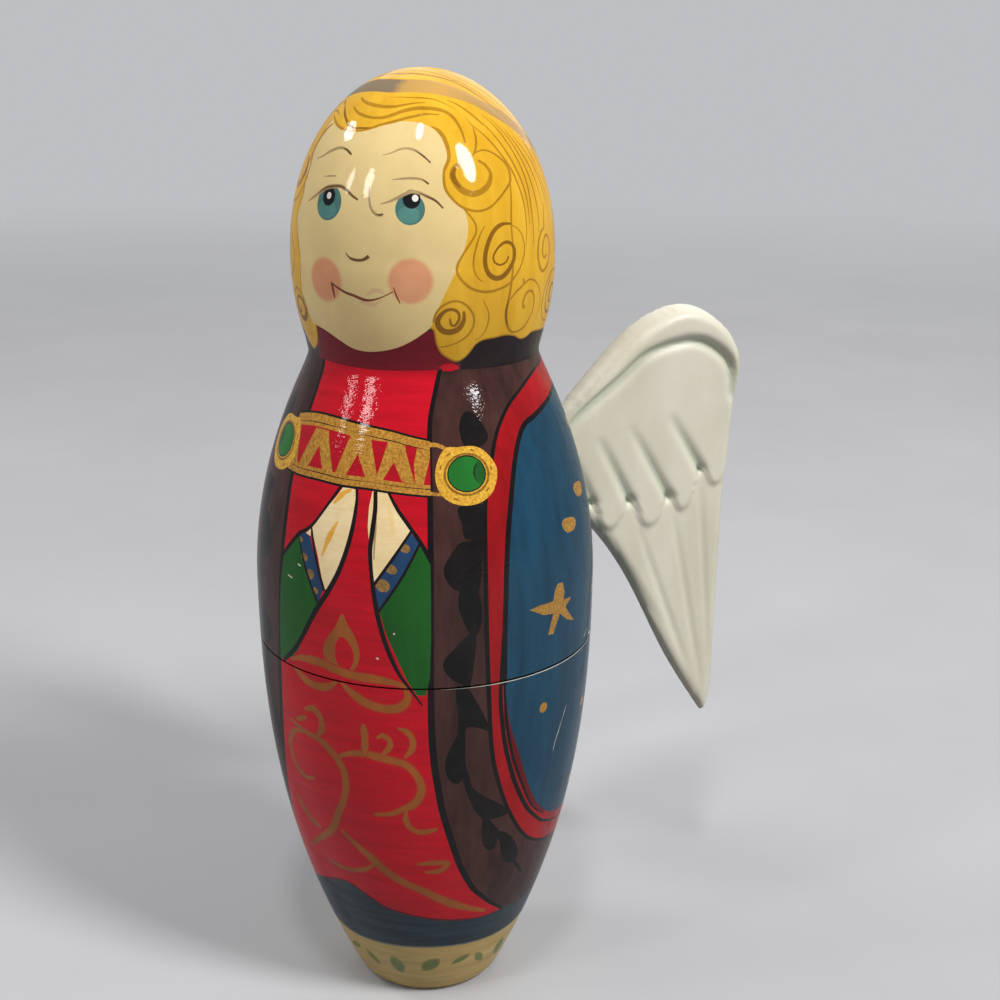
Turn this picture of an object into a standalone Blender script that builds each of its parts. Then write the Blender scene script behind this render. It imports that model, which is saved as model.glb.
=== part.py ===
"""Angel nesting doll: five turned wooden dolls, one inside the other, and two carved wings.

Metres, +Z up. The dolls share one axis, the outermost doll's foot stands on z = 0 and the
doll faces -Y. Every hollow doll is two half shells: the lower one ends in a spigot, and the
upper one slips over that spigot with a socket.
"""

import math
from dataclasses import dataclass

import bmesh
import bpy
from mathutils import Matrix, Vector

# Outside of the outermost doll
HEIGHT = 0.1800
BASE_RADIUS = 0.0140
BELLY_RADIUS = 0.0325
BELLY_HEIGHT = 0.0860
NECK_RADIUS = 0.0208
NECK_HEIGHT = 0.1297
NECK_EASE = 0.0012
HEAD_RADIUS = 0.02415
HEAD_HEIGHT = 0.1473
SEAM_HEIGHT = 0.0747

# Fullness of each stretch of the outside: 2 is a plain parabola or ellipse, more is fuller
FOOT_FULLNESS = 2.4
SHOULDER_FULLNESS = 2.0
CHEEK_FULLNESS = 2.1
CROWN_FULLNESS = 2.1

# Hollow dolls from the outside in: name, wall, floor, crown, spigot wall, spigot length, facets round
HOLLOW_DOLLS = (
    ("outer", 0.0045, 0.0060, 0.0150, 0.0021, 0.0120, 36),
    ("second", 0.0036, 0.0050, 0.0110, 0.0017, 0.0095, 28),
    ("third", 0.0029, 0.0040, 0.0080, 0.0013, 0.0075, 24),
    ("fourth", 0.0023, 0.0032, 0.0060, 0.0010, 0.0060, 20),
)
INNERMOST_FACETS = 18

# Clearances
FIT_GAP = 0.0003
NEST_GAP = 0.0012

# Wings: the root sits on the back of the outer upper half, and the blade sweeps back from it
WING_PLACE = math.radians(150)
WING_SWEEP = math.radians(45)
WING_ROOT_HEIGHT = 0.1020
WING_ROOT_DEPTH = 0.0210
WING_TENON = 0.0100
WING_REACH = 0.0424
WING_RISE = 0.0312
WING_DROP = 0.0609
BLADE_THICKNESS = 0.0060
BLADE_TIP_SHARE = 0.55
RIM_WIDTH = 0.0062
RIM_RELIEF = 0.0024
BACK_RIM_RELIEF = 0.0010
CARVED_EDGE = 0.0007

# Short feathers across the wing: count, length, height of the notches, and relief
COVERT_FEATHERS = 4
COVERT_OUTER = 0.955
COVERT_PITCH = 0.23
COVERT_LENGTH = 0.0085
COVERT_NOTCH = -0.0050
COVERT_RELIEF = 0.0014

# Wing dowels
DOWEL_RADIUS = 0.0015
DOWEL_SPACING = 0.0095
DOWEL_IN_BODY = 0.0028
DOWEL_IN_WING = 0.0070
DOWEL_FACETS = 16

# Points along each stretch of a turned profile
FOOT_POINTS = 7
SHOULDER_POINTS = 6
CHEEK_POINTS = 4
CROWN_POINTS = 6
CAVITY_POINTS = 5
FIT_SAMPLES = 120
OUTLINE_RESOLUTION = 3
MERGE_DISTANCE = 0.00001
SHARP_ANGLE = math.radians(38)

# Finishes: base colour, roughness
LACQUER = ((0.60, 0.02, 0.03, 1.0), 0.18)
WHITE_PAINT = ((0.74, 0.69, 0.54, 1.0), 0.50)
BARE_WOOD = ((0.62, 0.43, 0.23, 1.0), 0.65)


@dataclass
class Doll:
    """One doll of the set: its scale to the outermost, the height of its foot and its shell."""

    name: str
    scale: float
    foot: float
    facets: int
    wall: float = 0.0
    floor: float = 0.0
    crown: float = 0.0
    spigot_wall: float = 0.0
    spigot_length: float = 0.0

    @property
    def seam(self):
        return SEAM_HEIGHT * self.scale

    @property
    def bore_radius(self):
        return outside_radius(SEAM_HEIGHT) * self.scale - self.wall

    @property
    def cavity_top(self):
        return HEIGHT * self.scale - self.crown


# Turned outline

def foot_radius(z):
    drop = max(BELLY_HEIGHT - z, 0.0) / BELLY_HEIGHT
    return BELLY_RADIUS - (BELLY_RADIUS - BASE_RADIUS) * drop ** FOOT_FULLNESS


def shoulder_radius(z):
    rise = max(z - BELLY_HEIGHT, 0.0) / (NECK_HEIGHT - BELLY_HEIGHT)
    return BELLY_RADIUS - (BELLY_RADIUS - NECK_RADIUS) * rise ** SHOULDER_FULLNESS


def cheek_radius(z):
    drop = max(HEAD_HEIGHT - z, 0.0) / (HEAD_HEIGHT - NECK_HEIGHT)
    return HEAD_RADIUS - (HEAD_RADIUS - NECK_RADIUS) * drop ** CHEEK_FULLNESS


def crown_radius(z):
    rise = min((z - HEAD_HEIGHT) / (HEIGHT - HEAD_HEIGHT), 1.0)
    return HEAD_RADIUS * math.sqrt(1.0 - rise ** CROWN_FULLNESS)


def outside_radius(z):
    """Radius of the outermost doll at a height; the crease at the neck is eased by a small fillet."""
    if z <= BELLY_HEIGHT:
        return foot_radius(z)
    if z >= HEAD_HEIGHT:
        return crown_radius(z)
    shoulder = shoulder_radius(z)
    cheek = cheek_radius(z)
    return 0.5 * (shoulder + cheek + math.hypot(shoulder - cheek, NECK_EASE))


def spread(low, high, count):
    """Evenly spaced values from low to high, both included."""
    return [low + (high - low) * i / (count - 1) for i in range(count)]


def crown_heights():
    """Heights over the crown, closer together towards the top as the surface turns over."""
    rise = HEIGHT - HEAD_HEIGHT
    turns = spread(0.0, math.pi / 2, CROWN_POINTS)
    return [HEAD_HEIGHT + rise * math.sin(turn) ** (2.0 / CROWN_FULLNESS) for turn in turns]


def upper_outside(scale, rim):
    """Outer side of an upper half, from the top of the crown down to its rim."""
    heights = spread(rim / scale, BELLY_HEIGHT, 3)[:-1] if rim < BELLY_HEIGHT * scale else []
    heights += spread(max(BELLY_HEIGHT, rim / scale), NECK_HEIGHT, SHOULDER_POINTS)
    heights += spread(NECK_HEIGHT, HEAD_HEIGHT, CHEEK_POINTS)[1:]
    heights += crown_heights()[1:]
    return [(outside_radius(z) * scale, z * scale) for z in reversed(heights)]


def lower_outside(scale, top):
    """Outer side of a foot, from a height down to the crisp edge and the middle of the flat base."""
    heights = spread(0.0, top / scale, FOOT_POINTS)
    side = [(outside_radius(z) * scale, z * scale) for z in reversed(heights)]
    side.append((0.0, 0.0))
    return side


# Shells and how they nest

def cavity_radius(doll, z):
    """Radius of the hollow inside a doll at a height above its foot; never wider than its mouth."""
    if z < doll.floor or z > doll.cavity_top:
        return 0.0
    neck = NECK_HEIGHT * doll.scale
    body = min(doll.bore_radius, outside_radius(min(z, neck) / doll.scale) * doll.scale - doll.wall)
    if z <= neck:
        return body
    rise = (z - neck) / (doll.cavity_top - neck)
    return body * math.sqrt(1.0 - rise ** 2)


def nested_scale(shell):
    """Largest scale at which a doll stands inside a shell with the nesting gap all round it."""
    low = 0.0
    high = shell.scale
    while high - low > 1e-7:
        scale = (low + high) / 2
        if all(nests(shell, scale, z) for z in spread(0.0, HEIGHT, FIT_SAMPLES)):
            low = scale
        else:
            high = scale
    return low


def nests(shell, scale, z):
    headroom = NEST_GAP if z > BELLY_HEIGHT else 0.0
    height = shell.floor + FIT_GAP + z * scale + headroom
    return outside_radius(z) * scale + NEST_GAP <= cavity_radius(shell, height)


def nest_of_dolls():
    """The dolls from the outside in, each as large as the hollow around it allows."""
    dolls = []
    scale = 1.0
    foot = 0.0
    for name, wall, floor, crown, spigot_wall, spigot_length, facets in HOLLOW_DOLLS:
        doll = Doll(name, scale, foot, facets, wall, floor, crown, spigot_wall, spigot_length)
        dolls.append(doll)
        foot += floor + FIT_GAP
        scale = nested_scale(doll)
    dolls.append(Doll("innermost", scale, foot, INNERMOST_FACETS))
    return dolls


def lower_half_profile(doll):
    """From the middle of the hollow's floor up its wall, over the spigot and down the outside."""
    rising = spread(doll.floor, doll.seam, CAVITY_POINTS)
    profile = [(0.0, doll.floor)]
    profile += [(cavity_radius(doll, z), z) for z in rising]
    spigot_top = doll.seam + doll.spigot_length
    spigot_radius = doll.bore_radius + doll.spigot_wall
    profile.append((doll.bore_radius, spigot_top))
    profile.append((spigot_radius, spigot_top))
    profile.append((spigot_radius, doll.seam))
    return profile + lower_outside(doll.scale, doll.seam)


def upper_half_profile(doll):
    """From the crown down the outside, under the rim, up the socket and up the hollow."""
    rim = doll.seam + FIT_GAP
    socket_top = doll.seam + doll.spigot_length + FIT_GAP
    socket_radius = doll.bore_radius + doll.spigot_wall + FIT_GAP
    neck = NECK_HEIGHT * doll.scale
    profile = upper_outside(doll.scale, rim)
    profile.append((socket_radius, rim))
    profile.append((socket_radius, socket_top))
    profile += [(cavity_radius(doll, z), z) for z in spread(socket_top, neck, CAVITY_POINTS)]
    turns = spread(0.0, math.pi / 2, CAVITY_POINTS)[1:]
    neck_radius = cavity_radius(doll, neck)
    rise = doll.cavity_top - neck
    profile += [(neck_radius * math.cos(t), neck + rise * math.sin(t)) for t in turns]
    profile[-1] = (0.0, doll.cavity_top)
    return profile


def solid_profile(doll):
    """A doll with no seam: from the crown down the outside to the middle of its base."""
    return upper_outside(doll.scale, doll.seam) + lower_outside(doll.scale, doll.seam)[1:]


# Blender helpers

def new_collection(name):
    collection = bpy.data.collections.new(name)
    bpy.context.scene.collection.children.link(collection)
    return collection


def finish(obj, look):
    """Give a piece its own material."""
    colour, roughness = look
    material = bpy.data.materials.new(obj.name)
    material.use_nodes = True
    shader = material.node_tree.nodes["Principled BSDF"]
    shader.inputs["Base Color"].default_value = colour
    shader.inputs["Roughness"].default_value = roughness
    shader.inputs["Metallic"].default_value = 0.0
    material.diffuse_color = colour
    obj.data.materials.clear()
    obj.data.materials.append(material)


def add_object(name, data, collection):
    obj = bpy.data.objects.new(name, data)
    collection.objects.link(obj)
    return obj


def baked_mesh(obj):
    """The mesh that an object's modifiers or curve make, welded into one closed surface."""
    bpy.context.view_layer.update()
    evaluated = obj.evaluated_get(bpy.context.evaluated_depsgraph_get())
    mesh = bpy.data.meshes.new_from_object(evaluated)
    work = bmesh.new()
    work.from_mesh(mesh)
    bmesh.ops.remove_doubles(work, verts=work.verts, dist=MERGE_DISTANCE)
    work.to_mesh(mesh)
    work.free()
    return mesh


def bake(obj, collection):
    """Replace an object by a plain mesh object of the same name and place."""
    name = obj.name
    mesh = baked_mesh(obj)
    matrix = obj.matrix_world.copy()
    bpy.data.objects.remove(obj)
    baked = add_object(name, mesh, collection)
    baked.matrix_world = matrix
    mesh.shade_smooth()
    mesh.set_sharp_from_angle(angle=SHARP_ANGLE)
    return baked


def turned(name, profile, facets, foot, collection):
    """A solid turned about Z from a profile at +X that runs down its outer side."""
    mesh = bpy.data.meshes.new(name)
    points = [(radius, 0.0, z) for radius, z in profile]
    edges = [(i, i + 1) for i in range(len(points) - 1)]
    mesh.from_pydata(points, edges, [])
    obj = add_object(name, mesh, collection)
    obj.location.z = foot
    screw = obj.modifiers.new("Turn", "SCREW")
    screw.steps = facets
    screw.render_steps = facets
    screw.use_merge_vertices = True
    screw.merge_threshold = MERGE_DISTANCE
    return bake(obj, collection)


def cut(target, cutter, operation="DIFFERENCE"):
    boolean = target.modifiers.new(operation.title(), "BOOLEAN")
    boolean.operation = operation
    boolean.solver = "EXACT"
    boolean.object = cutter


def as_cutter(obj):
    obj.hide_render = True
    obj.display_type = "WIRE"
    return obj


# Wings

def wing_matrix(side):
    """Wing frame: local X along the reach, local Y up; the carved face looks along side times local Z."""
    radius = outside_radius(WING_ROOT_HEIGHT)
    root = Vector((side * radius * math.sin(WING_PLACE), -radius * math.cos(WING_PLACE), WING_ROOT_HEIGHT))
    reach = Vector((side * math.cos(WING_SWEEP), math.sin(WING_SWEEP), 0.0))
    up = Vector((0.0, 0.0, 1.0))
    matrix = Matrix((reach, up, reach.cross(up))).transposed().to_4x4()
    matrix.translation = root
    return matrix


def leading_edge():
    """The arched top of the wing, from inside the body to the outer corner: reach, height, handle."""
    return [
        (-WING_TENON, 0.35 * WING_ROOT_DEPTH, "VECTOR"),
        (0.24 * WING_REACH, 0.65 * WING_RISE, "AUTO"),
        (0.66 * WING_REACH, WING_RISE, "AUTO"),
        (0.985 * WING_REACH, 0.70 * WING_RISE, "AUTO"),
    ]


def wing_outline():
    """The whole wing: arched top, straight outer edge, narrow tip and swept feather edge."""
    return leading_edge() + [
        (0.955 * WING_REACH, -0.14 * WING_DROP, "AUTO"),
        (0.945 * WING_REACH, -0.86 * WING_DROP, "AUTO"),
        (0.905 * WING_REACH, -WING_DROP, "VECTOR"),
        (0.66 * WING_REACH, -0.75 * WING_DROP, "AUTO"),
        (0.41 * WING_REACH, -0.42 * WING_DROP, "AUTO"),
        (0.16 * WING_REACH, -0.20 * WING_DROP, "AUTO"),
        (-WING_TENON, -WING_ROOT_DEPTH / 2, "VECTOR"),
    ]


def covert_outline():
    """The short feathers: under the arch, ending in a row of rounded tips between sharp notches."""
    edge = [(0.955 * WING_REACH, COVERT_NOTCH, "VECTOR")]
    for i in range(COVERT_FEATHERS):
        tip = COVERT_OUTER - (i + 0.45) * COVERT_PITCH
        notch = COVERT_OUTER - (i + 1.0) * COVERT_PITCH
        edge.append((tip * WING_REACH, COVERT_NOTCH - COVERT_LENGTH, "AUTO"))
        edge.append((notch * WING_REACH, COVERT_NOTCH, "VECTOR"))
    edge.append((-WING_TENON, -0.35 * WING_ROOT_DEPTH, "VECTOR"))
    return leading_edge() + edge


def rim_outline():
    """The raised rim that follows the arch from the root to the outer corner."""
    return leading_edge() + [
        (0.90 * WING_REACH, 0.52 * WING_RISE, "AUTO"),
        (0.66 * WING_REACH, WING_RISE - RIM_WIDTH, "AUTO"),
        (0.30 * WING_REACH, 0.65 * WING_RISE - 0.75 * RIM_WIDTH, "AUTO"),
        (-WING_TENON, 0.35 * WING_ROOT_DEPTH - RIM_WIDTH, "VECTOR"),
    ]


def carved_layer(name, outline, depths, collection):
    """A flat outline with eased edges between two depths across the wing."""
    low, high = sorted(depths)
    curve = bpy.data.curves.new(name, "CURVE")
    curve.dimensions = "2D"
    curve.fill_mode = "BOTH"
    curve.extrude = (high - low) / 2 - CARVED_EDGE
    curve.bevel_depth = CARVED_EDGE
    curve.bevel_resolution = 0
    curve.offset = -CARVED_EDGE
    curve.resolution_u = OUTLINE_RESOLUTION
    spline = curve.splines.new("BEZIER")
    spline.bezier_points.add(len(outline) - 1)
    spline.use_cyclic_u = True
    for point, (reach, height, handle) in zip(spline.bezier_points, outline):
        point.co = (reach, height, 0.0)
        point.handle_left_type = handle
        point.handle_right_type = handle
    layer = add_object(name, curve, collection)
    layer.location.z = (high + low) / 2
    return bake(layer, collection)


def taper_blade(mesh):
    """Thin the blade evenly from its top to its tip."""
    span = WING_RISE + WING_DROP
    for vertex in mesh.vertices:
        drop = (WING_RISE - vertex.co.y) / span
        vertex.co.z *= 1.0 - (1.0 - BLADE_TIP_SHARE) * drop


def carved_wing(name, side, body, parts, cutters):
    """One wing: blade, short feathers and rim in one piece, with its root cut to the body."""
    half = BLADE_THICKNESS / 2
    blade = carved_layer(name, wing_outline(), (-side * half, side * half), parts)
    coverts = (0.0, side * (half + COVERT_RELIEF))
    rim = (-side * (half + BACK_RIM_RELIEF), side * (half + RIM_RELIEF))
    for layer, outline, depths in (("coverts", covert_outline(), coverts), ("rim", rim_outline(), rim)):
        cut(blade, as_cutter(carved_layer(f"{name}_{layer}", outline, depths, cutters)), "UNION")
    blade = bake(blade, parts)
    taper_blade(blade.data)
    blade.matrix_world = wing_matrix(side)
    cut(blade, body)
    return blade


# Dowels

def dowel_seat(height):
    """Reach along the wing at which a dowel's line leaves the body's surface."""
    radius = outside_radius(WING_ROOT_HEIGHT + height)
    root = outside_radius(WING_ROOT_HEIGHT)
    along = root * math.cos(WING_SWEEP - (WING_PLACE - math.pi / 2))
    return math.sqrt(along ** 2 + radius ** 2 - root ** 2) - along


def dowel(name, side, height, slack, collection):
    """A peg along the wing's reach, partly in the body's wall and partly in the wing."""
    length = DOWEL_IN_BODY + DOWEL_IN_WING + 2 * slack
    bpy.ops.mesh.primitive_cylinder_add(vertices=DOWEL_FACETS, radius=DOWEL_RADIUS + slack, depth=length)
    peg = bpy.context.object
    peg.name = name
    for owner in peg.users_collection:
        owner.objects.unlink(peg)
    collection.objects.link(peg)
    middle = dowel_seat(height) + (DOWEL_IN_WING - DOWEL_IN_BODY) / 2
    place = Matrix.Translation((middle, height, 0.0)) @ Matrix.Rotation(math.pi / 2, 4, "Y")
    peg.matrix_world = wing_matrix(side) @ place
    peg.data.shade_smooth()
    peg.data.set_sharp_from_angle(angle=SHARP_ANGLE)
    return peg


def body_cutter(facets, collection):
    """The outside of the outer doll, larger by the fit gap, which shapes the wings' roots."""
    profile = [(radius + FIT_GAP, z) for radius, z in upper_outside(1.0, SEAM_HEIGHT)]
    profile[0] = (0.0, HEIGHT + FIT_GAP)
    profile.append((0.0, SEAM_HEIGHT))
    return as_cutter(turned("body_cutter", profile, facets, 0.0, collection))


# Assembly

def add_wings(body, facets, parts, cutters):
    """Both wings, pegged to the back of the outer upper half; returns the new pieces."""
    pieces = []
    root_shape = body_cutter(facets, cutters)
    for hand, side in (("left", 1), ("right", -1)):
        blade = carved_wing(f"{hand}_wing", side, root_shape, parts, cutters)
        pieces.append(blade)
        for level, height in (("upper", DOWEL_SPACING / 2), ("lower", -DOWEL_SPACING / 2)):
            name = f"{hand}_wing_{level}_dowel"
            hole = as_cutter(dowel(name + "_hole", side, height, FIT_GAP, cutters))
            cut(blade, hole)
            cut(body, hole)
            pieces.append(dowel(name, side, height, 0.0, parts))
    return pieces


def hang_on(parent, pieces):
    """Parent pieces without moving them."""
    bpy.context.view_layer.update()
    for piece in pieces:
        piece.parent = parent
        piece.matrix_parent_inverse = parent.matrix_world.inverted()


def main():
    for obj in list(bpy.data.objects):
        bpy.data.objects.remove(obj)
    parts = new_collection("angel_nesting_doll")
    cutters = new_collection("cutters")
    axis = add_object("doll_axis", None, parts)
    *shells, innermost = nest_of_dolls()
    for doll in shells:
        lower = turned(f"{doll.name}_lower_half", lower_half_profile(doll), doll.facets, doll.foot, parts)
        upper = turned(f"{doll.name}_upper_half", upper_half_profile(doll), doll.facets, doll.foot, parts)
        hang_on(axis, [lower, upper])
        for half in (lower, upper):
            finish(half, LACQUER)
        if doll.scale == 1.0:
            pegged = add_wings(upper, doll.facets, parts, cutters)
            hang_on(upper, pegged)
            for piece in pegged:
                finish(piece, BARE_WOOD if "dowel" in piece.name else WHITE_PAINT)
    solid = turned("innermost_doll", solid_profile(innermost), innermost.facets, innermost.foot, parts)
    hang_on(axis, [solid])
    finish(solid, LACQUER)


main()
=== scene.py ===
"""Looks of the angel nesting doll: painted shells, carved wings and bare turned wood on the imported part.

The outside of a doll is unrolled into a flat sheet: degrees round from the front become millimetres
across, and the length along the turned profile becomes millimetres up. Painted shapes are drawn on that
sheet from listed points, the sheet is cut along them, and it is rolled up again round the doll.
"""
import math

import bpy
import numpy as np
from mathutils import Matrix, Vector
from mathutils.geometry import delaunay_2d_cdt


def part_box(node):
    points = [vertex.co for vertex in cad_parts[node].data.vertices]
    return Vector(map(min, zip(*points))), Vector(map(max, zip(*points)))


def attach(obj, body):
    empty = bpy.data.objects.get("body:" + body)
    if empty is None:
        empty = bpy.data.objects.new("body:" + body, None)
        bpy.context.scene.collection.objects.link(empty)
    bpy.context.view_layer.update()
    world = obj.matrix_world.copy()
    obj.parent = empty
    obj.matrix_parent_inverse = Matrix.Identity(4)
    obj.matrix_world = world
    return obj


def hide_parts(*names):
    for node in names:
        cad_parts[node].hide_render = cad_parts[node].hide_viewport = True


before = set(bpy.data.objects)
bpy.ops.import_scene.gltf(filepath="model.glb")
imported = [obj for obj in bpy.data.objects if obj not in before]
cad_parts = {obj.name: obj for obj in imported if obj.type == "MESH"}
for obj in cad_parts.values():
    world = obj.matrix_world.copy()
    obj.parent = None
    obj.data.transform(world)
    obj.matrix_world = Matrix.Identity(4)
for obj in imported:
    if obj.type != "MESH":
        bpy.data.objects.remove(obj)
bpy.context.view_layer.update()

MM = 0.001
TINY = 1e-9

# Turned outline of the outermost doll, in millimetres
HEIGHT = 180.0
BASE_RADIUS = 14.0
BASE_EDGE = 0.6
BELLY_RADIUS = 32.5
BELLY_HEIGHT = 86.0
NECK_RADIUS = 20.8
NECK_HEIGHT = 129.7
NECK_EASE = 1.2
HEAD_RADIUS = 24.15
HEAD_HEIGHT = 147.3
SEAM_HEIGHT = 74.7
FOOT_FULLNESS = 2.4
SHOULDER_FULLNESS = 2.0
CHEEK_FULLNESS = 2.1
CROWN_FULLNESS = 2.1
# Places along it: on the foot's edge, a step up the side in millimetres, and over the crown
EDGE_PLACES = 12
SIDE_STEP = 0.2
CROWN_PLACES = 90

# Shells from the outside in: name, wall, floor, crown, spigot wall, spigot length, sampling step
SHELLS = (
    ("outer", 4.5, 6.0, 15.0, 2.1, 12.0, 0.8),
    ("second", 3.6, 5.0, 11.0, 1.7, 9.5, 1.1),
    ("third", 2.9, 4.0, 8.0, 1.3, 7.5, 1.5),
    ("fourth", 2.3, 3.2, 6.0, 1.0, 6.0, 2.0),
)
INNERMOST_STEP = 2.8
FINEST_STEP = 0.8
FIT_GAP = 0.3
# Painted shade in the seam: black paint on the ledge and this far up the spigot, in millimetres
SEAM_SHADE = 0.8
POLE_RADIUS = 0.5
EASED_CORNER = math.cos(math.radians(35))
# Rings of the linings: down the lower hollow, up the upper hollow and over its top
LOWER_RINGS = 14
UPPER_RINGS = 8
DOME_RINGS = 12

# The unrolled sheet: its grid is staggered from row to row, and points within a touch are one
PER_DEGREE = 0.5
SHEET_RADIUS = math.degrees(PER_DEGREE)
SHEET_HALF = 180.0 * PER_DEGREE
CELL = 2.4
LEAST_ROWS = 3
LEAST_COLUMNS = 16
STAGGER = (0.33, 0.67)
LEAST_AREA = 0.001
TOUCH = 1e-4

# The map of a piece: the linings lie below the sheet, in bands that have a start and a size
LINING_SHARE = 0.2
LOW_BAND = (0.0, 0.035)
HIGH_BAND = (0.04, LINING_SHARE - 0.045)
FRONT_SHARE = 1.3

# Wings, in millimetres: reach and height are measured from the root
WING_PLACE = math.radians(150)
WING_SWEEP = math.radians(45)
WING_ROOT_HEIGHT = 102.0
WING_ROOT_DEPTH = 21.0
ROOT_TOP = 0.35 * WING_ROOT_DEPTH
ROOT_BOTTOM = -0.5 * WING_ROOT_DEPTH
ROOT_EASE = 3.0
ROOT_LEVELS = 5
WING_REACH = 42.4
WING_RISE = 31.2
WING_DROP = 60.9
BLADE_HALF = 3.0
BLADE_TIP_SHARE = 0.55
EDGE_ROUND = 2.4
WING_CELL = 0.75
ROW_SHARE = 0.87
EDGE_CLEARANCE = 0.45
WING_TOUCH = 1e-5
NEAR = 1e-3

# Carving of the wings, in millimetres
CARVE_STEP = 0.5
RIM_RELIEF = 2.0
BACK_RIM_RELIEF = 0.9
RIM_EASE = 1.6
GULLY_WIDTH = 1.0
GULLY_DEPTH = 1.0
BACK_GULLY_DEPTH = 0.35
COVERT_RELIEF = 1.3
COVERT_EASE = (-0.5, 0.9)
COVERT_FADE = 26.0
COVERT_LEAST = 0.55
GOUGE_WIDTH = 0.95
GOUGE_DEPTH = 1.25
GOUGE_GROWTH = 0.8
QUILL_WIDTH = 0.55
QUILL_DEPTH = 0.38
QUILL_ENDS = (0.03, 0.97)
BACK_QUILL_SHARE = 0.7
# Depth of carving at which the grooves' painted shade is full
SHADED_DEPTH = 1.3

# Camera, from the photograph
LENS = 54.0
SENSOR = 36.0
CAMERA_AZIMUTH = math.radians(25.5)
CAMERA_DISTANCE = 276.2
CAMERA_HEIGHT = 184.6
CAMERA_PITCH = math.radians(17.05)
CAMERA_YAW = math.radians(2.98)
CAMERA_ROLL = math.radians(0.38)
CLIP_START = 0.01

# Studio, in metres: the backdrop as it is seen, the light it gives, and the floor
BACKDROP = (190, 191, 194)
SKY = (226, 227, 230)
SKY_STRENGTH = 0.28
FLOOR_RADIUS = 1.7
FLOOR_SIDES = 96
FLOOR_FADE = (0.3, 0.95)
FLOOR_CLOUDS = (6.0, 6.0, 6.0)
FLOOR_SEEN = ((172, 172, 174), (180, 180, 182))
FLOOR_LIT = ((104, 104, 106), (112, 112, 114))
FLOOR_ROUGHNESS = 0.7
# Lamps, all aimed at one point: name, azimuth from the camera's side, elevation, distance, size, power
AIM = Vector((0.0, 0.0, 0.1))
LAMPS = (
    ("key", 51, 43, 1.2, (0.26, 0.48), 14.0),
    ("overhead", -5, 68, 1.3, (0.12, 0.28), 3.9),
    ("window", -54, 31, 1.3, (0.15, 0.34), 2.6),
    ("side_window", -74, 28, 1.3, (0.12, 0.26), 1.3),
    ("left", -110, 41, 1.4, (0.36, 0.20), 4.4),
    ("back", 165, 32, 1.9, (1.8, 1.8), 9.0),
)


# Turned profile

def outside_radius(z):
    """Radius of the outermost doll at heights in millimetres."""
    z = np.asarray(z, float)
    drop = np.clip((BELLY_HEIGHT - z) / BELLY_HEIGHT, 0.0, 1.0)
    foot = BELLY_RADIUS - (BELLY_RADIUS - BASE_RADIUS) * drop ** FOOT_FULLNESS
    rise = np.clip((z - BELLY_HEIGHT) / (NECK_HEIGHT - BELLY_HEIGHT), 0.0, None)
    shoulder = BELLY_RADIUS - (BELLY_RADIUS - NECK_RADIUS) * rise ** SHOULDER_FULLNESS
    dip = np.clip((HEAD_HEIGHT - z) / (HEAD_HEIGHT - NECK_HEIGHT), 0.0, None)
    cheek = HEAD_RADIUS - (HEAD_RADIUS - NECK_RADIUS) * dip ** CHEEK_FULLNESS
    waist = 0.5 * (shoulder + cheek + np.hypot(shoulder - cheek, NECK_EASE))
    top = np.clip((z - HEAD_HEIGHT) / (HEIGHT - HEAD_HEIGHT), 0.0, 1.0)
    crown = HEAD_RADIUS * np.sqrt(1.0 - top ** CROWN_FULLNESS)
    return np.select([z <= BELLY_HEIGHT, z < HEAD_HEIGHT], [foot, waist], crown)


def outside_profile():
    """Radius, height, length along the profile, and outward normal, from the foot's edge to the crown."""
    turn = np.linspace(0.0, math.pi / 2, EDGE_PLACES)[:-1]
    flat = BASE_RADIUS - BASE_EDGE
    edge_radius = flat + (outside_radius(BASE_EDGE) - flat) * np.sin(turn)
    edge_height = BASE_EDGE * (1.0 - np.cos(turn))
    side = np.arange(BASE_EDGE, HEAD_HEIGHT, SIDE_STEP)
    over = np.linspace(0.0, math.pi / 2, CROWN_PLACES)
    crown = HEAD_HEIGHT + (HEIGHT - HEAD_HEIGHT) * np.sin(over) ** (2.0 / CROWN_FULLNESS)
    z = np.concatenate([edge_height, side, crown])
    r = np.concatenate([edge_radius, outside_radius(side), outside_radius(crown)])
    r[-1] = 0.0
    s = np.concatenate([[0.0], np.cumsum(np.hypot(np.diff(r), np.diff(z)))])
    normal_r = np.gradient(z, s)
    normal_z = -np.gradient(r, s)
    size = np.hypot(normal_r, normal_z)
    return r, z, s, normal_r / size, normal_z / size


PROFILE_R, PROFILE_Z, PROFILE_S, NORMAL_R, NORMAL_Z = outside_profile()


def length_at(height):
    return np.interp(height, PROFILE_Z, PROFILE_S)


def along_profile(lengths, values):
    return np.interp(lengths, PROFILE_S, values)


# Curves on the sheet

# Curls: points on one turn, how far the reach shrinks, and the share of the width from start to end
CURL_POINTS = 14
CURL_SHRINK = 0.8
CURL_SWELL = (0.4, 1.0, 0.9, 0.7)
VEIL_RIM = 1.4


def on_sheet(points):
    """Sheet millimetres of (degrees, height) points."""
    pts = np.array(points, float)
    return np.column_stack([pts[:, 0] * PER_DEGREE, length_at(pts[:, 1])])


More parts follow.
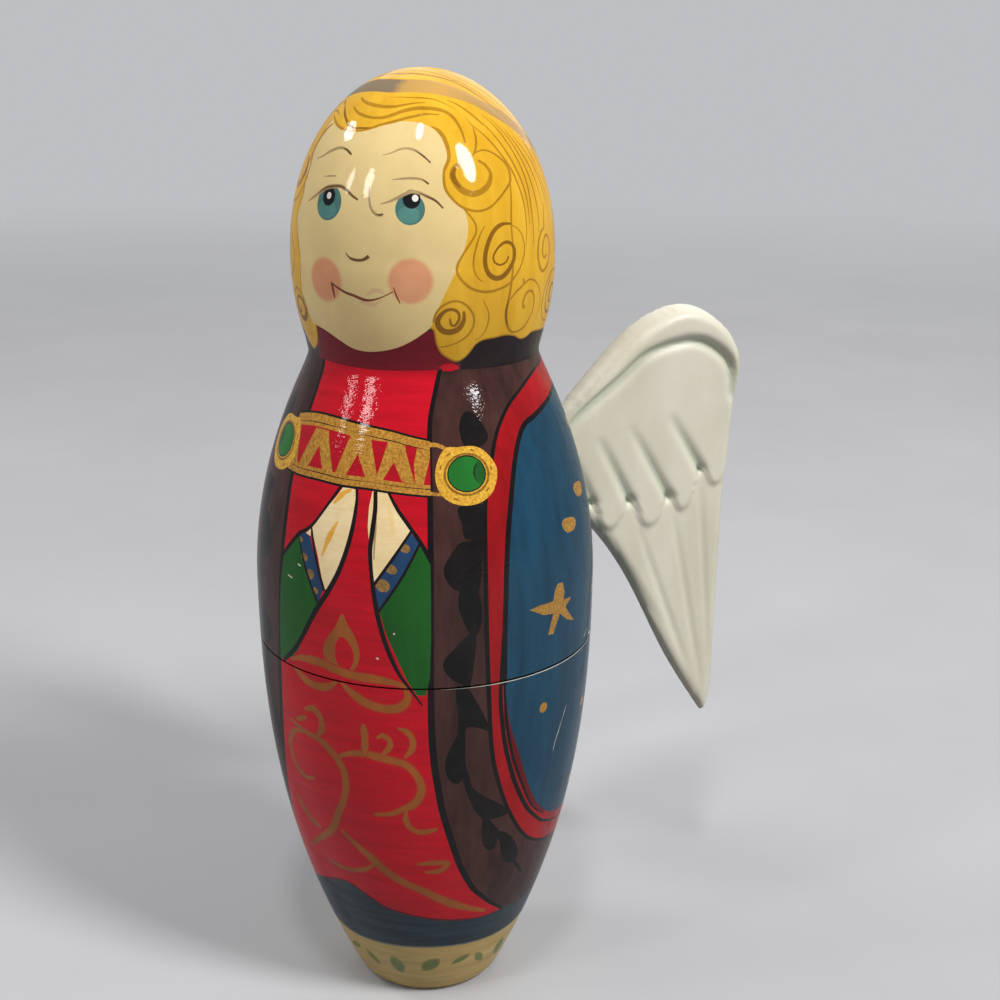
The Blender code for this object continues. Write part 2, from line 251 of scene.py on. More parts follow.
def curve(points, step, closed=False, smooth=True):
    """Points about a step apart on a Catmull-Rom curve, or on straight stretches, through given points."""
    pts = np.asarray(points, float)
    count = len(pts)
    path = []
    for i in range(count if closed else count - 1):
        here = pts[i]
        there = pts[(i + 1) % count]
        before = pts[i - 1] if closed or i > 0 else 2 * here - there
        after = pts[(i + 2) % count] if closed or i + 2 < count else 2 * there - here
        pieces = max(1, math.ceil(np.hypot(*(there - here)) / step))
        t = np.linspace(0.0, 1.0, pieces, endpoint=False)[:, None]
        if smooth:
            bend = (2 * before - 5 * here + 4 * there - after) * t ** 2
            bend += (3 * here - before - 3 * there + after) * t ** 3
            path.append(0.5 * (2 * here + (there - before) * t + bend))
        else:
            path.append(here + (there - here) * t)
    if not closed:
        path.append(pts[-1:])
    return np.vstack(path)


def mirrored(points, shift=0.0):
    """The same points on the other side of the doll, some degrees farther round, in reverse order."""
    return [(-angle - shift, height) for angle, height in reversed(points)]


def flipped(points, side, size=1.0):
    """A motif's points at a size, turned left to right where side is -1."""
    return [(side * x * size, y * size) for x, y in points]


def ring(height, sway=0.0, waves=5):
    """Points all the way round at a height that sways as a hand-held brush does."""
    return [(a, height + sway * math.sin(math.radians(a * waves))) for a in range(-190, 191, 5)]


def turned(points, degrees):
    """Points turned about the origin."""
    c = math.cos(math.radians(degrees))
    s = math.sin(math.radians(degrees))
    return np.asarray(points, float) @ np.array([[c, s], [-s, c]])


def ellipse(across, up, count, turn=0.0):
    """Points of an ellipse about the origin, in millimetres."""
    angles = np.linspace(0.0, 2 * math.pi, count, endpoint=False)
    return turned(np.column_stack([across * np.cos(angles), up * np.sin(angles)]), turn)


class Painting:
    """Painted shapes on the sheet, later ones over earlier ones."""

    def __init__(self, step):
        self.step = step
        self.shapes = []

    def put(self, paint, loop):
        """Add a closed loop in sheet millimetres, and its copies past the joint at the back."""
        x = loop[:, 0]
        y = loop[:, 1]
        twice_area = np.dot(x, np.roll(y, -1)) - np.dot(y, np.roll(x, -1))
        if abs(twice_area) < LEAST_AREA:
            return
        if twice_area < 0:
            loop = loop[::-1]
        for shift in (-2 * SHEET_HALF, 0.0, 2 * SHEET_HALF):
            moved = loop + (shift, 0.0)
            if moved[:, 0].max() > -SHEET_HALF and moved[:, 0].min() < SHEET_HALF:
                self.shapes.append((paint, moved))

    def area(self, paint, points, smooth=True):
        """The inside of a closed curve of (degrees, height) points."""
        self.put(paint, curve(on_sheet(points), self.step, closed=True, smooth=smooth))

    def between(self, paint, *edges):
        """The inside of open curves joined end to end by straight stretches."""
        paths = [curve(on_sheet(edge), self.step) for edge in edges]
        loop = []
        for path, following in zip(paths, paths[1:] + paths[:1]):
            join = curve([path[-1], following[0]], self.step, smooth=False)
            loop += [path, join[1:-1]]
        self.put(paint, np.vstack(loop))

    def line(self, paint, points, width, swell):
        """A brush line along a curve; swell gives its share of the width from start to end."""
        self.brush(paint, curve(on_sheet(points), self.step), width, swell)

    def pair(self, paint, points, width, swell, shift=0.0):
        """A brush line, and its mirror image some degrees farther round on the other side."""
        self.line(paint, points, width, swell)
        self.line(paint, mirrored(points, shift), width, swell[::-1])

    def veil(self, paint, points, width, swell):
        """A thin brush line with a paler rim."""
        self.line(paint + "_rim", points, width * VEIL_RIM, swell)
        self.line(paint, points, width, swell)

    def brush(self, paint, path, width, swell, closed=False):
        """A chain of triangles along a path on the sheet, of true width on the doll."""
        widen = SHEET_RADIUS / np.maximum(along_profile(path[:, 1], PROFILE_R), 1.0)
        true = path / np.column_stack([widen, np.ones(len(path))])
        if closed:
            run = np.roll(true, -1, axis=0) - np.roll(true, 1, axis=0)
        else:
            run = np.gradient(true, axis=0)
        run = run / np.maximum(np.hypot(run[:, 0], run[:, 1]), TINY)[:, None]
        share = np.linspace(0.0, len(swell) - 1.0, len(path))
        half = 0.5 * width * np.interp(share, np.arange(len(swell)), swell)
        side = np.column_stack([-run[:, 1] * widen, run[:, 0]]) * half[:, None]
        left = path + side
        right = path - side
        last = len(path) if closed else len(path) - 1
        for i in range(last):
            j = (i + 1) % len(path)
            self.put(paint, np.array([right[i], right[j], left[j]]))
            self.put(paint, np.array([right[i], left[j], left[i]]))

    def motif(self, angle, height, points):
        """Sheet places of points given in true millimetres about a spot on the doll."""
        spot = on_sheet([(angle, height)])[0]
        widen = SHEET_RADIUS / float(along_profile(spot[1], PROFILE_R))
        return np.asarray(points, float) * (widen, 1.0) + spot

    def dab(self, paint, angle, height, points, smooth=True):
        """A filled motif."""
        self.put(paint, curve(self.motif(angle, height, points), self.step, closed=True, smooth=smooth))

    def loop(self, paint, angle, height, points, width):
        """A motif drawn as a closed brush line."""
        path = curve(self.motif(angle, height, points), self.step, closed=True)
        self.brush(paint, path, width, (1.0, 1.0), closed=True)

    def curl(self, paint, angle, height, across, up, turns, width, start):
        """A spiral lock wound from its outside to its middle."""
        t = np.linspace(0.0, 1.0, int(CURL_POINTS * abs(turns)) + 2)
        reach = 1.0 - CURL_SHRINK * t
        phase = math.radians(start) + 2 * math.pi * turns * t
        points = np.column_stack([across * reach * np.cos(phase), up * reach * np.sin(phase)])
        path = curve(self.motif(angle, height, points), self.step)
        self.brush(paint, path, width, CURL_SWELL)


# Dress: every part of the painting, back to front; left and right in the names are the photograph's

ROBE_RIGHT = [
    (33, 130.2), (31, 127.5), (29, 124.5), (27.6, 121.5), (27.2, 116), (27, 100), (26.8, 80), (26.8, 68),
    (27.6, 60), (28.8, 55), (30.3, 50), (32.6, 45), (35.4, 40), (38.9, 35), (44.3, 30), (48.8, 27.5),
    (54.5, 24.8), (63.5, 21.5),
]
ROBE_LEFT = [
    (-31, 130.2), (-30, 124), (-29.8, 112), (-28.6, 100), (-29.5, 85), (-31.5, 75), (-34.5, 62),
    (-39.5, 50), (-45, 41), (-52, 32), (-60, 25.5), (-68, 21.5),
]
HEMLINE = [
    (63.5, 21.5), (52, 21.3), (40, 21.9), (30, 22.6), (20, 23.6), (12, 24.4), (5, 25.4), (0, 26.9),
    (-5, 28.2), (-10, 29.3), (-15, 29.4), (-22, 28.3), (-30, 26.8), (-45, 24.2), (-68, 21.5),
]
HEM_TOP = [
    (-190, 20.6), (-100, 20.8), (-68, 22), (-45, 25.5), (-30, 28), (-15, 30.5), (0, 28.5), (20, 24.8),
    (45, 23), (66, 21.6), (100, 20.8), (190, 20.6),
]
FOOT_TOP = 14.4
# Leaves on the foot, once every fifth of a turn: angle, height, half width, half height, lean
FOOT_LEAVES = (
    (5, 8.2, 1.9, 3.0, 8), (26, 9.0, 2.1, 2.7, -38), (45, 9.6, 1.2, 2.2, -62), (59, 8.4, 1.2, 2.4, 30),
)
LEAF = [
    (0.1, -1.0), (0.62, -0.5), (0.8, 0.1), (0.55, 0.62), (0.0, 1.0), (-0.62, 0.6), (-0.8, 0.0), (-0.5, -0.6),
]
TRIM_OUTER = [
    (180, 130), (140, 129.4), (100, 128), (90, 127.5), (80, 126.4), (70, 124.7), (62, 122.7), (54.5, 119),
    (49.5, 113.5), (46, 107.5), (44.8, 100), (44.4, 92), (44.6, 84), (45.2, 76), (46.3, 66), (47.8, 59.5),
    (50.5, 54), (54, 49), (58, 45), (62.5, 41.5), (68, 38.5), (75, 36.3), (85, 34.5), (110, 32), (145, 30.6),
]
PANEL_UPPER = [
    (180, 124.6), (140, 124), (105, 123), (90, 121.9), (82, 121.1), (75, 120.3), (70, 119.7), (66, 118.4),
    (62, 115.8), (58.5, 112), (55.5, 107), (53.3, 102), (52, 97), (51.3, 92), (50.8, 84), (51, 74),
]
PANEL_LOWER = [
    (51, 74), (53, 67), (55.2, 63), (58, 59), (61.5, 54), (65.5, 49.5), (70, 46), (76, 43), (85, 40.6),
    (105, 38.3), (140, 36.9),
]
TRIM_BOTTOM = 30.0
PANEL_BOTTOM = 36.5
TRIM_FOLD = [
    (50, 84), (49.6, 73), (50.5, 67), (52, 62), (54, 58), (56.5, 54), (60, 50), (64, 46.5), (68.5, 43.8),
    (76, 40.6), (88, 38.2), (104, 36.2),
]
INNER_FOLD = [
    (50.7, 76), (51.9, 67.5), (53.4, 63), (55.3, 59), (57.7, 55.5), (60.7, 52), (64.6, 48), (69, 45),
    (76, 42.2),
]
CLOAK_LINES = (
    ([(190, 130)] + TRIM_OUTER, 0.9, (0.3, 0.4, 0.5, 0.9, 1.0, 1.0, 0.9, 0.6, 0.3)),
    ([(190, 124.6)] + PANEL_UPPER, 1.05, (0.4, 0.5, 0.8, 1.0, 1.0, 0.9)),
    (TRIM_FOLD, 0.95, (0.3, 0.9, 1.0, 1.0, 0.6, 0.2)),
    (INNER_FOLD, 0.7, (0.5, 1.0, 0.9, 0.8, 0.2)),
)
VINE_SWELL = (1.0, 0.8, 1.0, 0.9, 0.7, 0.5)
VINE_STEM = [
    (44, 107.5), (42.8, 100), (41.2, 93), (38.4, 89), (40, 84.5), (38.9, 78), (37, 72), (36.6, 66),
    (36.8, 60), (38.5, 56), (41.5, 51), (47, 46), (52, 42.5), (58, 38), (62, 34.5), (70, 29.5),
]
VINE_LOBES = (
    [(39, 120), (40.5, 122.2), (43.5, 123), (47.5, 121.8), (50.5, 118.6), (46, 117), (41, 117)],
    [(36.5, 107.4), (45, 107.6), (44.4, 105), (43.8, 102.4), (38.4, 102), (37.4, 104.6)],
    [(43.5, 102.3), (40, 101.7), (36.2, 101.3), (33.2, 99.3), (31, 97), (32, 94.8), (34.8, 93.2),
     (40.8, 92.4), (42, 97)],
    [(36.1, 93), (35.5, 90), (36.6, 88), (38.2, 85.8), (40.2, 84.4), (42.2, 85.4), (43.1, 88.5), (42.7, 91),
     (40.8, 93.2)],
    [(40.4, 84.9), (37.6, 84.4), (34.2, 82.4), (31, 80.4), (30.6, 78.9), (32.2, 77.2), (35, 75.9),
     (38.8, 75.4), (39.2, 80)],
    [(34.8, 75), (38.8, 74.2), (42, 71), (44.6, 68), (46, 65.4), (42, 66.4), (38.6, 66.8), (36, 66),
     (35.2, 70)],
    [(36.8, 66), (37.6, 60), (36.6, 55.5), (33.2, 55.8), (31.2, 59), (32.7, 62.6)],
    [(38.4, 57), (40, 54.6), (44, 52.2), (49, 50.2), (54, 48), (55.6, 46.4), (51, 46), (46, 46.4),
     (42.4, 48.6), (40, 51.6)],
    [(46, 46.5), (45.4, 43), (47.5, 39.6), (51, 38.6), (52.6, 41), (50.6, 44)],
    [(53, 42.4), (57.5, 41.2), (62, 38.2), (64.5, 35), (62, 33.6), (57.5, 34.6), (54.8, 38)],
)
# On the doll's right: the cloak's share of the way round from the back, and how many degrees farther
# round the vine and the locks lie than on its left
RIGHT_SHARE = 0.885
RIGHT_SHIFT = 6.0


def on_right(points):
    """The same points of the cloak on the doll's right, in reverse order."""
    return [((180 - angle) * RIGHT_SHARE - 180, height) for angle, height in reversed(points)]


def round_the_back(side, bottom):
    """A loop that goes down one side of the back and up the other."""
    up = [(360 + angle, height) for angle, height in on_right(side[1:])]
    return side + [(180, bottom)] + up


def both_sides(angle):
    """The sides of the cloak that a motif is on: 1 or -1, and its angle there."""
    if angle == 180:
        return ((1, angle),)
    return ((1, angle), (-1, (180 - angle) * RIGHT_SHARE - 180))


def paint_foot(p):
    top = ring(FOOT_TOP, 0.25, 4)
    p.between("foot", ring(-1.0), top[::-1])
    for start in range(0, 360, 72):
        for angle, height, across, up, turn in FOOT_LEAVES:
            for paint, share in (("leaf_rim", 1.0), ("leaf", 0.78)):
                leaf = [(x * across * share, y * up * share) for x, y in LEAF]
                p.dab(paint, start + angle, height, turned(leaf, turn))
    p.between("hem", top, HEM_TOP[::-1])
    p.line("hem_rim", top, 0.5, (1.0, 0.7, 1.0, 0.6, 1.0))


def paint_cloak(p):
    p.area("trim", round_the_back(TRIM_OUTER, TRIM_BOTTOM))
    p.area("cloak", round_the_back(PANEL_UPPER + PANEL_LOWER[1:], PANEL_BOTTOM))
    for place in (list, on_right):
        p.between("trim_shade", place(INNER_FOLD), place(PANEL_LOWER[:8])[::-1])
    for points, width, swell in CLOAK_LINES:
        p.line("line", points, width, swell)
        p.line("line", on_right(points), width, swell[::-1])
    p.pair("vine", VINE_STEM, 1.5, VINE_SWELL, RIGHT_SHIFT)
    for lobe in VINE_LOBES:
        p.area("vine", lobe)
        p.area("vine", mirrored(lobe, RIGHT_SHIFT))


STAR = [
    (-7.1, 1.2), (-4.8, 1.5), (-1.1, 1.4), (-0.7, 3.3), (0.3, 4.4), (1.7, 4.2), (2.2, 2.4), (2.0, 0.8),
    (4.5, 0.6), (2.6, -0.8), (4.3, -2.8), (5.8, -4.4), (3.1, -3.4), (0.9, -1.6), (-0.1, -3.2), (-1.0, -5.0),
    (-2.4, -4.8), (-1.7, -2.7), (-1.1, -1.0), (-3.7, -0.6),
]
HEXAGON = [(-2.6, 0.5), (-1.6, 1.4), (1.7, 0.9), (2.6, -0.2), (1.5, -1.4), (-1.3, -1.2)]
# Where they stand on the cloak: angle, height, and the size of a star
STARS = (
    (72.5, 86.2, 1.0), (117, 73, 0.7), (180, 108, 0.75), (180, 62, 0.8), (146, 48, 0.7), (114, 52, 0.65),
    (156, 84, 0.6),
)
HEXAGONS = ((82.5, 100.3), (95, 105.2), (116, 94), (112, 116), (170, 95), (134, 60), (166, 72))
DOTS = ((67.5, 67), (97, 62), (98, 45), (122, 45), (168, 46), (104, 84), (140, 108), (152, 117))


def paint_stars(p):
    for angle, height, size in STARS:
        for side, place in both_sides(angle):
            p.dab("star", place, height, flipped(STAR, side, size), smooth=False)
    for angle, height in HEXAGONS:
        for side, place in both_sides(angle):
            p.dab("star", place, height, flipped(HEXAGON, side))
    for angle, height in DOTS:
        for side, place in both_sides(angle):
            p.dab("star", place, height, ellipse(1.0, 1.1, 8))


# Painted shade under the chin, up from the neck crease; the robe's own red shows at its right end
CHIN_SHADE = [
    (-34.5, 129.9), (-35, 137), (0, 137.5), (31, 137), (33, 134), (37, 132), (42, 130.6), (42.5, 129.9),
]
ROBE_TIP = [(31, 129.9), (34.5, 131), (39, 131), (42.4, 130.1), (38, 129.6)]


def paint_robe(p):
    # The chin's painted shade is a darker copy of the robe's paint
    p.area("collar", CHIN_SHADE, smooth=False)
    p.area("robe", ROBE_TIP, smooth=False)
    p.between("robe", [(-31, 130.2), (0, 130), (33, 130.2)], ROBE_RIGHT, HEMLINE, ROBE_LEFT[::-1])
    p.line("hem_shade", HEMLINE, 0.55, (0.4, 1.0, 1.0, 1.0, 0.4))
    p.line("line", ROBE_RIGHT, 1.3, (0.6, 0.7, 0.85, 0.85, 1.0, 1.0, 0.9, 0.5))
    p.line("line", ROBE_LEFT, 1.2, (0.7, 0.9, 0.9, 1.0, 0.9, 0.5))
    # A painted shade line along the neck crease
    p.line("collar", [(-31, 130.1), (0, 129.9), (33, 130.1)], 0.5, (0.6, 1.0, 0.6))


SLEEVES = (
    [(-27.5, 96), (-24, 98.2), (-20.6, 100.2), (-16, 94.5), (-11, 89), (-15.6, 84.2), (-18.6, 81.2),
     (-19.4, 79.2), (-23, 77), (-28.5, 75.4), (-30.8, 75.2), (-30, 82), (-28.8, 90)],
    [(23.8, 101.4), (26.9, 99.4), (27, 92), (26.9, 84), (26.4, 77), (25.2, 73.6), (22.4, 73.6), (19.4, 76.4),
     (16.4, 80.4), (13, 85), (10.8, 89.4), (15, 92.6), (20, 97.4)],
)
CUFFS = (
    [(-20.6, 100.4), (-18, 101.2), (-15.2, 100.6), (-13.4, 98.4), (-11, 95), (-8.6, 92), (-10.6, 88.9),
     (-16.2, 94.8)],
    [(20.6, 103.4), (23.6, 101.7), (18, 95.6), (10.4, 88.9), (9.7, 91), (9.5, 94.2), (14, 98), (18, 101.3)],
)
HANDS = (
    [(-3.8, 110.2), (0.8, 110), (1.5, 108), (1.1, 104), (-0.4, 100), (-3, 95.8), (-6, 92.7), (-8.3, 91.6),
     (-9.2, 93.6), (-11.2, 97.4), (-15, 102.4), (-10.5, 105.6), (-6.2, 108.4)],
    [(7.2, 110), (12.6, 110), (15, 107.9), (18.4, 105.3), (21, 103.8), (18, 101), (14, 97.6), (9.3, 94.2),
     (8.3, 98), (7.2, 101), (6.4, 104), (6.4, 107.4)],
    [(-17.2, 101), (-15.1, 102.2), (-15.1, 100.7)],
)
SLEEVE_LINES = (
    ([(1.5, 110.2), (1.8, 108), (1.2, 104), (-0.3, 100), (-3, 95.6), (-7, 91.4), (-12, 87.2), (-17, 82.5),
      (-22, 78.6), (-29, 75)], 0.95, (0.5, 0.9, 1.0, 1.1, 1.0, 0.9)),
    ([(-4.6, 110.4), (-9, 107), (-15, 102.6), (-20.4, 100.6), (-24.4, 98.2), (-28.4, 95.6)], 0.75,
     (0.8, 0.7, 1.0, 1.1)),
    ([(8.3, 110), (8.6, 107), (8, 103), (7.6, 100), (8.2, 96), (9.2, 92), (10.5, 88), (12.3, 84),
      (14.5, 80.5), (17, 77.5), (20, 75), (24, 71.6)], 0.9, (0.8, 1.0, 0.8, 1.0, 1.0, 0.8, 0.3)),
    ([(12.8, 110.1), (16, 107.4), (20, 104.6), (24, 101.6), (27.4, 98.2)], 0.7, (0.7, 1.0, 1.0, 1.2)),
    ([(-15.2, 102.5), (-12, 97), (-8.2, 91.5)], 0.55, (0.8, 1.0, 1.0)),
    ([(-20.8, 100.5), (-16.1, 94.6), (-10.4, 88.6)], 0.5, (0.5, 1.0, 1.0)),
    ([(21.2, 103.9), (15, 98.8), (9.1, 94)], 0.55, (0.8, 1.0, 1.0)),
    ([(23.8, 101.7), (18, 95.6), (10.2, 88.8)], 0.5, (0.8, 1.0, 0.9)),
)
# Dots on the cuffs: angle, height, half width, half height
CUFF_DOTS = (
    (-19.4, 99.6, 0.55, 0.5), (-17, 96.7, 0.9, 0.7), (-14.2, 93.9, 0.95, 1.0), (-11.8, 91.2, 0.7, 0.6),
    (18.9, 100.7, 0.95, 0.8), (14.5, 97, 1.2, 0.85), (11.9, 94, 1.35, 1.15),
)
HAND_STROKES = (
    ("ochre", [(-7, 107.1), (-3.4, 109.2), (-0.6, 109.8)], 1.1, (0.3, 1.0, 0.4)),
    ("ochre", [(-4.6, 104.2), (-7.4, 101.2), (-9.8, 97.6)], 1.2, (0.3, 1.0, 0.15)),
    ("hand_shade", [(8.8, 108.5), (9, 104), (8.9, 98.5)], 0.5, (0.4, 1.0, 0.4)),
    ("ochre_thin", [(12.8, 108.2), (14.2, 105.6), (15, 103)], 1.0, (0.2, 1.0, 0.3)),
)


def paint_sleeves(p):
    for sleeve in SLEEVES:
        p.area("sleeve", sleeve, smooth=False)
    for cuff in CUFFS:
        p.area("cuff", cuff, smooth=False)
    for angle, height, across, up in CUFF_DOTS:
        p.dab("cuff_dot", angle, height, ellipse(across, up, 9, -25))
    for hand in HANDS:
        p.area("hand", hand, smooth=False)
    for stroke in HAND_STROKES:
        p.line(*stroke)
    for points, width, swell in SLEEVE_LINES:
        p.line("line", points, width, swell)


BELT_TOP = [
    (-36, 120.4), (-30, 121), (-22, 121.4), (-12, 121.3), (-5, 121), (5, 120.5), (13, 120), (20, 119.3),
    (27.3, 118.6),
]
BELT_BOTTOM = [
    (27.3, 109.4), (20, 109.7), (13, 110), (5, 110.3), (-5, 110.3), (-15, 110.5), (-27, 110.4), (-36, 110.7),
]
CHEVRONS = (
    [(-36, 118.9), (-32.6, 118.9), (-28.2, 112.3), (-32.6, 112.3), (-36, 115.6)],
    [(-22, 118.9), (-27.2, 112.2), (-21.6, 112.2), (-18, 116.2), (-14, 112.2), (-9.2, 112.2), (-15, 118.9)],
    [(-4.2, 118.8), (-8.2, 112.2), (-3.6, 112.2), (0.1, 115.9), (4.1, 112.2), (8.8, 112), (4.6, 118.6)],
    [(11.6, 118.4), (8, 112), (10.6, 112), (14.2, 115), (17.4, 111.9), (22.2, 111.2), (18.4, 116.9),
     (18, 118)],
    [(22.8, 117.8), (27.3, 117.6), (27.3, 115.8), (24.8, 111.2), (22.2, 111.2), (21.5, 114.8)],
)
MEDALLION = [
    (5.7, 0.2), (5.2, 1.9), (3.9, 3.6), (2.4, 4.6), (0.6, 4.9), (-1.4, 4.8), (-3.2, 4.9), (-4.4, 3.9),
    (-5.2, 2.2), (-5.6, 0.2), (-5.3, -1.9), (-4.3, -3.7), (-2.6, -4.9), (-0.4, -5.4), (1.9, -5.1),
    (3.8, -4.0), (5.1, -2.2),
]
GEM_DAB = [
    (2.3, 2.0), (1.6, 1.1), (1.3, -0.2), (1.6, -1.4), (2.3, -2.0), (3.0, -1.2), (3.28, 0.0), (3.0, 1.2),
]
GEM_CREASE = [(2.2, 2.0), (1.5, 1.0), (1.25, -0.2), (1.6, -1.4)]
GEM_RISE = 0.1
# Medallions at the belt's ends: angle, height, side
MEDALLIONS = ((40.4, 112.8, 1), (-42, 114.8, -1))
# Strokes on a medallion, in millimetres from its middle, and their lean
STROKES = (
    (-4.6, 1.4, 80), (-3.0, 3.7, 40), (1.4, 4.1, -20), (4.6, 0.6, -75), (3.4, -3.0, 48), (-2.2, -4.2, -25),
)
# Straps from the belt to the medallions, each with its width and the share of it along the strap
STRAPS = (
    ([(26, 117.9), (30, 117.8), (34, 117)], 0.9, (1.0, 0.8, 0.7)),
    ([(25, 110.2), (29, 109.8), (32.5, 109.7)], 0.8, (1.0, 0.7, 0.7)),
    ([(-36, 119.7), (-33, 120.2), (-30, 120.4)], 0.9, (1.0, 0.8, 0.7)),
    ([(-37, 111.6), (-33, 111.4), (-30, 111.2)], 0.8, (1.0, 0.7, 0.7)),
)


def paint_belt(p):
    p.between("belt", BELT_TOP, BELT_BOTTOM)
    under = [(angle, height - 2.3 + max(0.0, angle) * 0.035) for angle, height in reversed(BELT_TOP)]
    over = [(angle, height + 1.9) for angle, height in reversed(BELT_BOTTOM)]
    p.between("gold", BELT_TOP, under)
    p.between("gold", over, BELT_BOTTOM)
    for chevron in CHEVRONS:
        p.area("gold", chevron, smooth=False)
    p.line("line", BELT_TOP, 0.45, (0.8, 1.0, 0.8))
    p.line("line", BELT_BOTTOM, 0.45, (0.8, 1.0, 0.8))
    p.line("line", [(angle, height - 1.6) for angle, height in BELT_TOP], 0.2, (0.2, 1.0, 0.2, 1.0, 0.4))
    p.line("line", [(angle, height + 1.2) for angle, height in BELT_BOTTOM], 0.2, (0.8, 0.3, 1.0, 0.1))
    for points, width, swell in STRAPS:
        p.line("gold", points, width, swell)
    for angle, height, side in MEDALLIONS:
        paint_medallion(p, angle, height, side)


def paint_medallion(p, angle, height, side):
    """A gold disc with a green gem, at one end of the belt."""
    gem = height + GEM_RISE
    p.dab("gold_light", angle, height, flipped(MEDALLION, side))
    p.loop("gold_dark", angle, height, ellipse(3.95, 3.55, 24), 0.45)
    p.dab("line", angle, gem, ellipse(3.5, 3.22, 24))
    p.dab("gem", angle, gem, ellipse(3.3, 3.0, 24))
    p.dab("gem_dark", angle, gem, flipped(GEM_DAB, side))
    crease = p.motif(angle, gem, flipped(GEM_CREASE, side))
    p.brush("shade", curve(crease, p.step), 0.25, (0.3, 1.0, 0.9, 0.3))
    for x, y, turn in STROKES:
        p.dab("gold_dark", angle, height, ellipse(0.5, 0.16, 8, turn) + (side * x, y))


STEMS = (
    ([(-28, 63.4), (-20, 62.2), (-14, 61.8), (-10, 60.6), (-6, 58.5), (-4, 56), (-4, 53), (-5.5, 50),
      (-8.5, 46.8), (-10.5, 44.6), (-13, 42.2), (-18, 39.8), (-25, 37), (-31, 34.6)], 1.7),
    ([(-7, 58.8), (-2, 60.3), (4, 61), (8, 60.8), (14, 60.2), (18, 59.6), (21, 58), (23, 55.8), (23.2, 53.5),
      (21, 51.3), (17, 49.9), (12, 48.6), (6, 48)], 1.7),
    ([(18, 49.6), (17.6, 47.8), (18.8, 46), (22, 44.8), (26, 45), (29, 45.6)], 1.3),
    ([(-9, 42.6), (-3, 40), (2, 38), (8, 35), (15, 32.5), (23, 30.5), (31, 28), (39, 25.8), (47, 24),
      (53, 22.8)], 2.0),
    ([(4.5, 67.2), (4.8, 64), (4.3, 60.6)], 1.6),
    ([(10, 61), (12.9, 62.8), (13.4, 64.2), (11, 65.3), (9, 64.6)], 1.2),
    ([(16, 67), (19, 66.3), (20.7, 64.8), (20.5, 62.8), (18, 61)], 1.3),
    ([(-19, 67), (-14.6, 67.8), (-11.8, 66.2), (-11.8, 64), (-14.4, 62.2)], 1.6),
    ([(-24, 64), (-21, 64.8), (-18.6, 65.4)], 1.2),
    ([(-19, 62.2), (-26, 61.2), (-30.5, 57.6), (-29, 53.8), (-23.5, 51.9), (-18, 52.6)], 1.3),
    ([(-33, 46), (-27, 42.6), (-20, 41)], 1.5),
    ([(21, 37.2), (27, 37.4), (33, 37.2), (30, 35.4), (24, 35.2)], 1.3),
    ([(-20, 33.4), (-11, 33), (-2, 34), (4, 36.2)], 1.2),
)
DROP = [
    (-1.6, 88), (-4, 85.4), (-6.4, 83.6), (-8.9, 81), (-8.7, 78.8), (-6, 77), (-2.5, 76.2), (1, 76.8),
    (3.6, 79.2), (4, 81.5), (2.6, 84), (0.2, 86.2),
]
DROP_HOLE = [
    (-2.4, 83.6), (-4.3, 81.8), (-4.6, 79.5), (-3, 77.7), (-0.5, 77.2), (1.7, 78.7), (2, 80.9), (0, 83),
]
LEAVES = (
    ([(-24.5, 76.2), (-18, 77.4), (-10, 77.6), (-5, 77), (2, 76.5), (10, 76.3), (16, 75.8), (19, 75.2)],
     1.5),
    ([(-23, 75), (-18, 73.3), (-13, 72.7), (-8, 73.2), (-4.5, 74.6)], 1.4),
    ([(-3, 74.8), (1, 73), (6, 71.4), (12, 70.7), (17, 71.2), (19.4, 73), (18.6, 75.2)], 1.6),
)


def paint_scrolls(p):
    """Gold ornament down the front of the robe."""
    for points, width in STEMS:
        p.veil("thin_gold", points, 0.85 * width, (0.4, 1.0, 0.85, 1.0, 0.4))
    p.area("thin_gold_rim", [(angle * 1.03, height) for angle, height in DROP])
    p.area("thin_gold", DROP)
    p.area("robe", DROP_HOLE)
    for points, width in LEAVES:
        p.veil("thin_gold", points, width, (0.3, 1.0, 0.9, 1.0, 0.4))


HAIR_EDGE = [
    (20, 137), (28.7, 137.6), (30.4, 136), (31, 134.8), (33, 133.2), (36, 132.2), (40.5, 131.4), (44, 132),
    (46.5, 133), (48.5, 134.2), (52, 135), (58, 135.2), (64, 135.4), (70, 135), (73, 134.4), (76, 134.1),
    (80, 134.3), (84, 134.9), (95, 134.6), (120, 133.8), (150, 134.4), (170, 134.2), (190, 134.2),
]
BAND_LOWER = [
    (0, 175.9), (20, 176), (40, 175.6), (60, 174.3), (75, 172), (90, 169.3), (104, 166.4), (120, 163.6),
    (150, 160.4), (170, 159.6), (190, 159.6),
]
BAND_UPPER = [
    (190, 161.6), (170, 161.6), (150, 162.8), (120, 166.4), (104, 169.4), (90, 172.6), (75, 174.6),
    (60, 176.6), (40, 177.8), (20, 178), (0, 178),
]
FACE = [
    (0, 170.4), (5, 170.9), (12, 171.4), (20, 171.4), (27, 171), (31, 170.4), (34.5, 169.5), (36.8, 168),
    (37.5, 166), (36.6, 164.3), (35.2, 163), (35, 161.5), (36.6, 159.8), (39.6, 158.3), (43, 157.2),
    (44.2, 155), (43.6, 153), (42, 150.7), (40, 148.4), (37.5, 146.4), (35, 144.3), (32.5, 142), (30, 139.6),
    (28.4, 137.8), (24, 136.3), (19, 135), (13, 133.9), (6, 133.2), (-1, 132.9), (-8, 133.2), (-14, 134.2),
    (-20, 135.3), (-25, 136), (-30, 136.4), (-33.8, 136.9), (-35.8, 138.6), (-38, 140.8), (-38, 143.5),
    (-37.4, 146), (-37.5, 148.5), (-39.6, 151.2), (-42.4, 153.2), (-43.2, 155), (-41.2, 157), (-40, 158.7),
    (-40.6, 160.5), (-43, 162.5), (-44.4, 165), (-44, 168), (-43.2, 171.2), (-38, 170.8), (-30, 170.1),
    (-22, 169.6), (-16, 169.5), (-8, 169.7),
]
